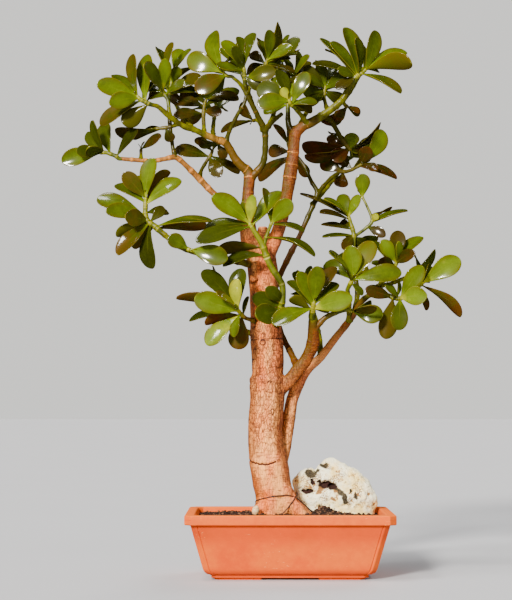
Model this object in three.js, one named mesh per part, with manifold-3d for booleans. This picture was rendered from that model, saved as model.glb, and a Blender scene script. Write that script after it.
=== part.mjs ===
// A jade plant (Crassula ovata) grown as a bonsai, with its terracotta pot, soil, stone and training wire.
// Millimetres, +Z up, front towards -Y. The group's origin is on the floor, under the middle of the plant.
import * as THREE from "three";
import { mergeVertices } from "three/addons/utils/BufferGeometryUtils.js";
import Module from "manifold-3d";

const wasm = await Module();
wasm.setup();

// ---- Driving sizes ----
const GAP = 0.3; // air left between neighbouring pieces
const POT = {
  length: 256,
  depth: 180,
  height: 80,
  rimHeight: 12,
  rimWidth: 12,
  underRim: 7, // how far the body sits inside the rim
  taper: 17, // how much narrower each side is at the foot of the wall
  floorTop: 12,
  plateTop: 6.5,
  footHeight: 2.5,
  footInner: 35, // half the open stretch between the feet
  footOuter: 92,
  footSideInner: 20,
  footBar: 12,
  footCorner: 6,
  plateInset: 8,
  chamfer: 8.5,
  bodyChamfer: 6,
  innerChamfer: 5.5,
  grooveDepth: 1.2,
  grooveWidth: 2.6,
  drainRadius: 9,
  drainOffset: 48,
};
const NARROWER = (POT.length - POT.depth) / 2; // what each half depth lacks of the half length
const SOIL_EDGE = 73; // height of the soil at the wall
const SOIL_CROWN = 3.5; // how much it rises to the middle
const TRUNK_FOOT = 42; // where the buried end of the trunk stops
const STONE_FOOT = 66;
const TRUNK_SIDES = 12;
const BOUGH_SIDES = [
  [7, 8],
  [4.7, 6],
  [3.3, 5],
  [0, 4],
]; // from this radius at its root up, a limb has so many sides
const STEM_SIDES = 4;
const LEAF_THICKNESS = 3.4;
const LEAF_MOST_WIDTH = 27;
const LEAF_SLENDER = 0.46; // width to length of a blade that is seen on edge
const LEAF_ARCH = 0.07; // rise of the midrib, as a share of the length
const LEAF_CUP = 0.16; // lift of the margins, as a share of the half width
const LEAF_HEEL = 1.5; // how far past the stem's middle a leaf is rooted
const LEAF_REACH = 2.5; // room kept round each sampled point of a blade
const WIRE_RADIUS = 0.9;

// The branches are laid out in front elevation, as seen from this station 2.2 m away. A point keeps its
// place in that elevation at whatever depth it stands.
const STATION = new THREE.Vector3(-41.5, -2200, 225);

function at(x, y, z) {
  const reach = (y - STATION.y) / -STATION.y;
  return new THREE.Vector3(
    STATION.x + (x - STATION.x) * reach,
    y,
    STATION.z + (z - STATION.z) * reach,
  );
}

// ---- Solids ----
function solid(geometry) {
  const bare = geometry.clone();
  bare.deleteAttribute("normal");
  bare.deleteAttribute("uv");
  const merged = mergeVertices(bare, 1e-4);
  return new wasm.Manifold(
    new wasm.Mesh({
      numProp: 3,
      vertProperties: new Float32Array(merged.attributes.position.array),
      triVerts: new Uint32Array(merged.index.array),
    }),
  );
}

function geometryOf(body) {
  const mesh = body.getMesh();
  const geometry = new THREE.BufferGeometry();
  geometry.setAttribute("position", new THREE.BufferAttribute(mesh.vertProperties, 3));
  geometry.setIndex(new THREE.BufferAttribute(mesh.triVerts, 1));
  geometry.computeVertexNormals();
  return geometry;
}

function joined(bodies) {
  return bodies.reduce((whole, body) => whole.add(body));
}

// A closed skin through rings of equally many points. Each ring turns counterclockwise about the way that the
// rings run, and a ring of one point is a tip.
function loft(rings) {
  const points = [];
  const faces = [];
  const starts = rings.map((ring) => {
    const start = points.length;
    points.push(...ring);
    return start;
  });
  for (let i = 0; i + 1 < rings.length; i++) {
    const count = Math.max(rings[i].length, rings[i + 1].length);
    for (let j = 0; j < count; j++) {
      const k = (j + 1) % count;
      const [a, b] = [starts[i], starts[i + 1]];
      if (rings[i].length === 1) faces.push([a, b + k, b + j]);
      else if (rings[i + 1].length === 1) faces.push([a + j, a + k, b]);
      else faces.push([a + j, a + k, b + k], [a + j, b + k, b + j]);
    }
  }
  closeEnd(rings[0], starts[0], true);
  closeEnd(rings.at(-1), starts.at(-1), false);

  function closeEnd(ring, start, first) {
    if (ring.length === 1) return;
    for (let j = 1; j + 1 < ring.length; j++) {
      faces.push(first ? [start, start + j + 1, start + j] : [start, start + j, start + j + 1]);
    }
  }

  const geometry = new THREE.BufferGeometry();
  const flat = points.flatMap((p) => [p.x, p.y, p.z]);
  geometry.setAttribute("position", new THREE.Float32BufferAttribute(flat, 3));
  geometry.setIndex(faces.flat());
  return geometry;
}

// A round limb through stations [centre, radius], square cut at both ends.
function limb(stations, sides) {
  const rings = [];
  let side = new THREE.Vector3(1, 0, 0);
  stations.forEach(([centre, radius], i) => {
    const before = stations[Math.max(i - 1, 0)][0];
    const after = stations[Math.min(i + 1, stations.length - 1)][0];
    const along = after.clone().sub(before).normalize();
    if (i === 0 && Math.abs(along.x) > 0.8) side.set(0, 1, 0);
    side = side.clone().addScaledVector(along, -side.dot(along)).normalize();
    const over = along.clone().cross(side);
    rings.push(
      Array.from({ length: sides }, (_, j) => {
        const turn = (2 * Math.PI * j) / sides;
        return centre
          .clone()
          .addScaledVector(side, radius * Math.cos(turn))
          .addScaledVector(over, radius * Math.sin(turn));
      }),
    );
  });
  return solid(loft(rings));
}

// ---- Pot and what stands in it ----
// One level of the pot: a rectangle with cut corners, and with a groove beside each cut where it has one.
function potRing(halfX, halfY, cut, groove, z) {
  const beside = cut + POT.grooveWidth;
  const middle = cut + POT.grooveWidth / 2;
  const side = groove === null ? [] : [[halfX, halfY - beside], [halfX - groove, halfY - middle]];
  const front = groove === null ? [] : [[halfX - middle, halfY - groove], [halfX - beside, halfY]];
  const corner = [...side, [halfX, halfY - cut], [halfX - cut, halfY], ...front];
  const back = corner.slice().reverse();
  const outline = [
    ...corner,
    ...back.map(([x, y]) => [-x, y]),
    ...corner.map(([x, y]) => [-x, -y]),
    ...back.map(([x, y]) => [x, -y]),
  ];
  return outline.map(([x, y]) => new THREE.Vector3(x, y, z));
}

// The body's half length at a height: it leans out evenly from the plate to the rim.
function wallHalf(z) {
  const top = POT.height - POT.rimHeight;
  const share = (top - z) / (top - POT.plateTop);
  return POT.length / 2 - POT.underRim - POT.taper * share;
}

function cavityRing(z, inset) {
  const share = Math.min(1, (POT.height - z) / (POT.height - POT.floorTop));
  const halfX = POT.length / 2 - POT.rimWidth - POT.taper * share - inset;
  return potRing(halfX, halfX - NARROWER, POT.innerChamfer, null, z);
}

function potBody() {
  const rimFoot = POT.height - POT.rimHeight;
  const half = POT.length / 2;
  const plate = wallHalf(POT.plateTop) - POT.plateInset;
  const { chamfer, bodyChamfer, grooveDepth } = POT;
  // half length, height, corner cut, groove
  const levels = [
    [plate, POT.footHeight, bodyChamfer, 0],
    [plate, POT.plateTop - 0.6, bodyChamfer, 0],
    [plate + 2, POT.plateTop, bodyChamfer, 0],
    [wallHalf(8) - 3.4, 8, bodyChamfer, grooveDepth],
    [wallHalf(10.5) - 1.2, 10.5, bodyChamfer, grooveDepth],
    [wallHalf(15), 15, bodyChamfer, grooveDepth],
    [wallHalf(rimFoot), rimFoot, bodyChamfer, grooveDepth],
    [half - 0.8, rimFoot + 0.3, chamfer, 0],
    [half, rimFoot + 1.2, chamfer, 0],
    [half, POT.height - 0.8, chamfer, 0],
    [half - 0.8, POT.height, chamfer, 0],
  ];
  const outside = levels.map(([x, z, cut, groove]) => potRing(x, x - NARROWER, cut, groove, z));
  const inside = [cavityRing(POT.floorTop, 0), cavityRing(POT.height, 0), cavityRing(POT.height + 1, 0)];
  let pot = solid(loft(outside)).subtract(solid(loft(inside)));
  for (const side of [-1, 1]) {
    const drain = new THREE.CylinderGeometry(POT.drainRadius, POT.drainRadius, 2 * POT.floorTop, 16);
    drain.rotateX(Math.PI / 2);
    drain.translate(side * POT.drainOffset, 0, POT.floorTop / 2);
    pot = pot.subtract(solid(drain));
  }
  return joined([pot, ...potFeet()]);
}

// Four feet, each an angle that follows its corner.
function potFeet() {
  const { footInner, footOuter, footBar, footSideInner, footCorner } = POT;
  const outerY = footOuter - NARROWER;
  const corners = [
    [1, 1],
    [-1, 1],
    [-1, -1],
    [1, -1],
  ];
  return corners.map(([sx, sy]) => {
    const outline = [
      [footInner, outerY],
      [footInner, outerY - footBar],
      [footOuter - footBar, outerY - footBar],
      [footOuter - footBar, footSideInner],
      [footOuter, footSideInner],
      [footOuter, outerY - footCorner],
      [footOuter - footCorner, outerY],
    ].map(([x, y]) => new THREE.Vector2(sx * x, sy * y));
    const options = { depth: POT.plateTop - 1, bevelEnabled: false };
    return solid(new THREE.ExtrudeGeometry(new THREE.Shape(outline), options));
  });
}

function soilBody(trunkHole, stoneHole) {
  const crown = [0, 0.35, 0.7].map((share) =>
    cavityRing(SOIL_EDGE, GAP).map((p) => {
      const inward = 1 - share;
      return new THREE.Vector3(p.x * inward, p.y * inward, SOIL_EDGE + SOIL_CROWN * Math.sin(1.9 * share));
    }),
  );
  const mound = loft([cavityRing(POT.floorTop + GAP, GAP), ...crown]);
  return solid(mound).subtract(trunkHole).subtract(stoneHole);
}

// A level outline carried straight down, for a buried foot or for the hole it stands in.
function shaft(outline, low, high) {
  return solid(loft([low, high].map((z) => outline.map((p) => new THREE.Vector3(p.x, p.y, z)))));
}

// The outline pushed out from its middle by an even gap.
function widened(outline, by) {
  const middle = new THREE.Vector3();
  outline.forEach((p) => middle.addScaledVector(p, 1 / outline.length));
  return outline.map((p) => {
    const out = p.clone().sub(middle).setZ(0);
    return p.clone().addScaledVector(out, by / out.length());
  });
}

// The weathered limestone: levels of left edge, right edge and half depth, roughened by two waves.
const STONE_DEPTH = 42;
const STONE_SIDES = 14;
const STONE_LEVELS = [
  [STONE_FOOT, 5, 108, 26],
  [79, 4, 107, 26],
  [88, 3.5, 111, 26],
  [97, 4, 110.3, 28],
  [105, 4.6, 107, 26],
  [117, 2.5, 101.5, 23],
  [124, 7, 94.5, 20],
  [131, 15, 86, 16],
  [136, 29, 77, 12],
  [141, 39, 65.5, 9],
  [144.5, 45, 59.5, 5],
];

function stoneRing([z, left, right, halfDepth], level) {
  return Array.from({ length: STONE_SIDES }, (_, j) => {
    const turn = (2 * Math.PI * j) / STONE_SIDES;
    const waves = Math.sin(3 * turn + level) * Math.sin(turn) + Math.sin(5 * turn - 1.7 * level);
    const rough = 1 + 0.05 * waves;
    const x = (left + right) / 2 + ((right - left) / 2) * Math.cos(turn);
    const depth = halfDepth * rough * Math.sin(turn);
    const point = at(x, STONE_DEPTH + depth, z);
    return point.setZ(at(x, STONE_DEPTH, z).z);
  });
}

function stoneBody() {
  const rings = STONE_LEVELS.map(stoneRing);
  rings[0].forEach((p, j) => p.set(rings[1][j].x, rings[1][j].y, STONE_FOOT));
  const hollows = [
    [48, 22, 112, 8, 6, 6],
    [22, 26, 104.5, 8, 6, 5],
    [65, 19, 97, 7, 4, 10],
    [46, 42, 143, 6, 9, 5],
  ];
  let stone = solid(loft(rings));
  for (const [x, y, z, rx, ry, rz] of hollows) {
    const hollow = new THREE.IcosahedronGeometry(1, 1).scale(rx, ry, rz);
    const middle = at(x, y, z);
    hollow.translate(middle.x, middle.y, middle.z);
    stone = stone.subtract(solid(hollow));
  }
  return { body: stone, foot: rings[0] };
}

// A pale pebble half sunk at the trunk's left foot.
function pebbleBody() {
  const pebble = new THREE.IcosahedronGeometry(1, 1).scale(4.6, 4.4, 6.6);
  pebble.rotateY(0.25);
  pebble.translate(-42, -31, SOIL_EDGE + SOIL_CROWN + 6.1);
  return solid(pebble);
}

// ---- Wood ----
// The trunk's levels: height, left edge, right edge, half depth. The first is its straight buried foot.
const TRUNK_LEVELS = [
  [77, -42.5, 32, 20],
  [82, -42, 25, 20],
  [90, -40.6, 17.5, 20],
  [100, -42, 9.3, 20],
  [110, -44.7, 3.8, 21],
  [122, -47.4, 1, 22],
  [140, -50.6, -1.6, 22.5],
  [160, -51, -5.7, 22],
  [182, -51.5, -9, 21],
  [205, -50.6, -7, 21.5],
  [222, -49.5, -5, 21],
  [240, -49.9, -5, 21.5],
  [251, -46, -7.5, 19.5],
  [262, -46.7, -6.3, 19.5],
  [290, -48.4, -7, 20],
  [310, -48.8, -9, 19.5],
  [350, -49.5, -14, 18],
  [380, -52, -13, 18],
  [400, -54, -17, 17],
  [418, -58.5, -22, 15],
];

function trunkRing([z, left, right, halfDepth], level) {
  return Array.from({ length: TRUNK_SIDES }, (_, j) => {
    const turn = (2 * Math.PI * j) / TRUNK_SIDES;
    const flute = 1 + (level > 3 ? 0.05 * Math.sin(3 * turn + z / 45) * Math.abs(Math.sin(turn)) : 0);
    const x = (left + right) / 2 + ((right - left) / 2) * Math.cos(turn);
    return new THREE.Vector3(x, halfDepth * flute * Math.sin(turn), z);
  });
}

// Boughs and twigs as stations [x, depth, z, radius] in the elevation. Each starts inside what it grows
// from, and a twig ends where its green, leafy shoot begins.
const BOUGHS = {
  stump: [[-33, 0, 402, 9], [-33, -3, 425, 8], [-33, -4, 437, 5.6]],
  knob: [[-44, -8, 370, 5.6], [-45, -19, 370.5, 5.2], [-45.5, -23, 371, 4]],
  left: [
    [-46, 2, 405, 12], [-51, 4, 428, 11], [-52, 6, 450, 9.6], [-51.5, 8, 480, 7.4], [-50, 8, 498, 7.4],
    [-51.5, 8, 507, 6.6], [-58.8, 6, 513, 6], [-68, 4, 523.5, 5.4], [-74.4, 2, 535, 5.1],
    [-81, 0, 544, 5.2],
    [-95, -4, 549, 4.2], [-105.5, -8, 553.5, 4.3], [-119.7, -12, 560, 3.5], [-130, -16, 563, 3.8],
    [-139, -20, 568, 3.3], [-151, -24, 577, 3.5], [-165.5, -27, 589.4, 2.9], [-174, -29, 592, 2.7],
  ],
  right: [
    [-30, 0, 392, 9], [-14, -4, 430, 8.6], [-8, -6, 450, 8.2], [-3, -8, 475, 7.4], [1.4, -10, 501, 8.6],
    [4.7, -11, 522, 7.8], [6.6, -12, 540, 7.6], [8.6, -12, 555, 8.2], [19, -13, 565, 6.6],
    [29, -14, 569.5, 6.2],
    [49.4, -15, 582.7, 5], [67, -15, 597, 4.6], [75, -15, 611, 4.1], [80, -15, 619.5, 3.8],
  ],
  centre: [
    [-49, 8, 498, 5], [-39.4, 6, 507.8, 4.4], [-32.9, 4, 517, 4], [-30.3, 2, 528.7, 3.7],
    [-29.7, 0, 541.7, 3.5],
    [-30.3, -2, 557.4, 3.9], [-35.5, -6, 570.5, 3.2], [-46, -12, 591, 3], [-53, -14, 606, 3],
    [-55, -18, 617, 2.7],
  ],
  crown_right: [[-52.5, -14, 607, 2.7], [-44, -10, 626, 2.4], [-35, -5, 634, 2.3]],
  crown_left: [[-52.5, -14, 605, 2.6], [-62, -18, 619, 2.3], [-70, -22, 626, 2.2]],
  centre_right: [[-30.3, -2, 557.4, 3.2], [-25, -9, 565, 2.8], [-16, -20, 574.4, 2.7], [-9, -30, 580, 2.6]],
  young_centre: [[24, -14, 567, 3.4], [16, -30, 578, 2.8], [9, -41, 586.5, 2.6]],
  mid_right: [[8.6, -12, 553, 4.6], [1.5, -4, 561, 4.2], [-1, 4, 572, 3.4], [-1, 8, 581, 3]],
  left_riser: [
    [-79.6, 0, 544, 3], [-75.7, -4, 557, 2.5], [-70.5, -8, 567.8, 2.4], [-64, -12, 581, 2.3],
    [-57, -14, 592, 2.3],
    [-53, -14, 606, 2.4],
  ],
  lower_left: [
    [-50, 4, 436, 5.4], [-74, 14, 462, 4.4], [-95, 20, 479, 3.9], [-113, 18, 497.4, 4],
    [-134, 10, 518.3, 3.4],
    [-143.7, 6, 525, 3.6], [-158, 2, 522.5, 2.9], [-173.4, -1, 520.4, 2.7], [-197.5, -3, 521.8, 2.6],
    [-212, -4, 523, 2.5],
  ],
  lower_left_up: [[-143.5, 6, 524, 2.8], [-147, 9, 539, 2.5], [-151, 11, 572, 2.4], [-152, 12, 588, 2.3]],
  lower_left_dark: [[-113, 18, 497.4, 2.8], [-110.7, 24, 508, 2.3], [-105, 28, 518, 2.2]],
  outer_left: [
    [-44, -4, 388, 4.8], [-62, -20, 392, 4], [-80, -30, 396, 3.8], [-110, -40, 402, 3.6],
    [-137.5, -46, 411.5, 3.4],
    [-152, -50, 422.4, 3.4], [-161.5, -50, 430.5, 3.5],
  ],
  outer_left_low: [[-137.5, -46, 411.5, 2.6], [-131, -53, 409.5, 2.3]],
  front_stem: [[-18, -10, 314, 4.8], [-13, -25, 325, 4.2]],
  front_left: [[-41, -8, 317, 3.2], [-47, -22, 319, 2.7], [-52.5, -34, 320.6, 2.5]],
  lower_right: [
    [-24, 2, 218, 9], [2.6, -2, 245.4, 8.5], [10.8, -6, 256.4, 8.3], [20.4, -10, 267.4, 8],
    [25.9, -14, 278.3, 8.1],
    [30, -18, 289.2, 8.8], [30.7, -24, 301.6, 7.3], [30, -30, 312.5, 6], [29.3, -37, 322, 4.7],
  ],
  second_stem: [
    [-24, 8, 118, 9.5], [-8, 13, 150, 8.4], [0.5, 19, 200, 7.7], [4, 21, 220, 7.4], [13, 24, 240, 7],
    [22, 27, 256, 6.4], [39.6, 30, 272, 5.5], [56, 24, 293.3, 5], [72.5, 8, 313.8, 4.4], [82, -2, 327, 4],
    [92, -12, 343, 3.6], [105, -20, 351.5, 3.3], [121, -26, 350.5, 3],
  ],
  right_riser: [[76, 4, 318, 3.6], [75.5, -16, 340, 3], [74, -30, 355, 2.8]],
  far_right_up: [[104, -20, 351, 3], [112, -6, 361, 2.8], [122, 8, 371, 2.7]],
  right_high: [[82, -2, 328, 3.4], [86, 16, 350, 3.1], [84, 27, 375, 3], [81, 30, 402, 3]],
  side_right: [[31, -27, 307, 4.4], [46, -31, 322, 3.4], [60, -31, 328.5, 3]],
  back_riser: [
    [11, -6, 258, 4.8], [2.6, 10, 277, 4], [-8.4, 24, 299, 3.5], [-17, 30, 330, 3.4], [-16, 31, 362, 3.3],
    [0.3, 30, 399.4, 3.9], [10, 30, 418, 3.3], [25, 34, 451.4, 3.2], [35.8, 40, 479, 3.1],
    [28.5, 45, 494, 2.6],
    [21, 50, 511, 2.4],
  ],
  back_right: [[35.8, 40, 478, 2.8], [44.3, 44, 489, 2.6], [54, 50, 499, 2.5], [62, 56, 505, 2.4]],
  hanging: [[40, -14, 577, 4], [51.5, 8, 573, 3.3], [58.9, 28, 562.4, 3], [66.2, 45, 549, 2.8]],
  left_top: [[-107, -8, 554, 3], [-107.5, 4, 565, 2.6]],
  left_far_up: [[-151, -24, 577, 2.8], [-152, -21, 589, 2.4]],
  left_under: [[-139, -20, 568, 2.8], [-147, -8, 564.5, 2.3]],
  near_fork: [[-81, 0, 544, 2.8], [-86, 10, 543, 2.3]],
  centre_under: [[-35.5, -6, 570, 2.8], [-41, 6, 572, 2.2]],
  far_left_single: [[-187, -2, 521, 2.4], [-187, 1, 529, 2]],
  right_mid: [[49.4, -15, 582.7, 3.2], [47, 0, 591, 2.6], [45, 8, 599, 2.4]],
  right_low: [[67, -15, 597, 3], [71, -4, 592, 2.3]],
  rear_a: [[-120, -12, 560, 3], [-134, 24, 576, 2.7], [-146, 54, 598, 2.4]],
  rear_b: [[-95, -4, 549, 3.2], [-96, 34, 560, 2.7], [-94, 62, 578, 2.4]],
  rear_c: [[-32, -2, 560, 3.4], [-44, 26, 588, 2.8], [-56, 48, 622, 2.4]],
  rear_d: [[-26, -8, 564, 2.8], [-16, 30, 590, 2.6], [-12, 54, 632, 2.3]],
  rear_e: [[8, -12, 548, 4.4], [14, 30, 566, 3], [28, 58, 592, 2.5]],
  rear_f: [[60, -15, 590, 3.4], [76, 18, 606, 2.7], [88, 44, 626, 2.4]],
  rear_g: [[-46, 6, 400, 4.6], [-52, 44, 412, 3.2], [-52, 76, 432, 2.6]],
  rear_h: [[-34, 8, 296, 4.6], [-56, 52, 306, 3.2], [-80, 82, 322, 2.6]],
  rear_i: [[40, 30, 272, 4], [38, 58, 300, 3], [30, 76, 334, 2.5]],
  rear_j: [[84, 27, 374, 3], [98, 52, 382, 2.6], [92, 74, 392, 2.3]],
  rear_k: [[112, -6, 361, 2.8], [132, 30, 366, 2.5], [150, 54, 374, 2.3]],
  rear_l: [[30, 37, 465, 3], [48, 66, 486, 2.6], [68, 92, 512, 2.3]],
};

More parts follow.
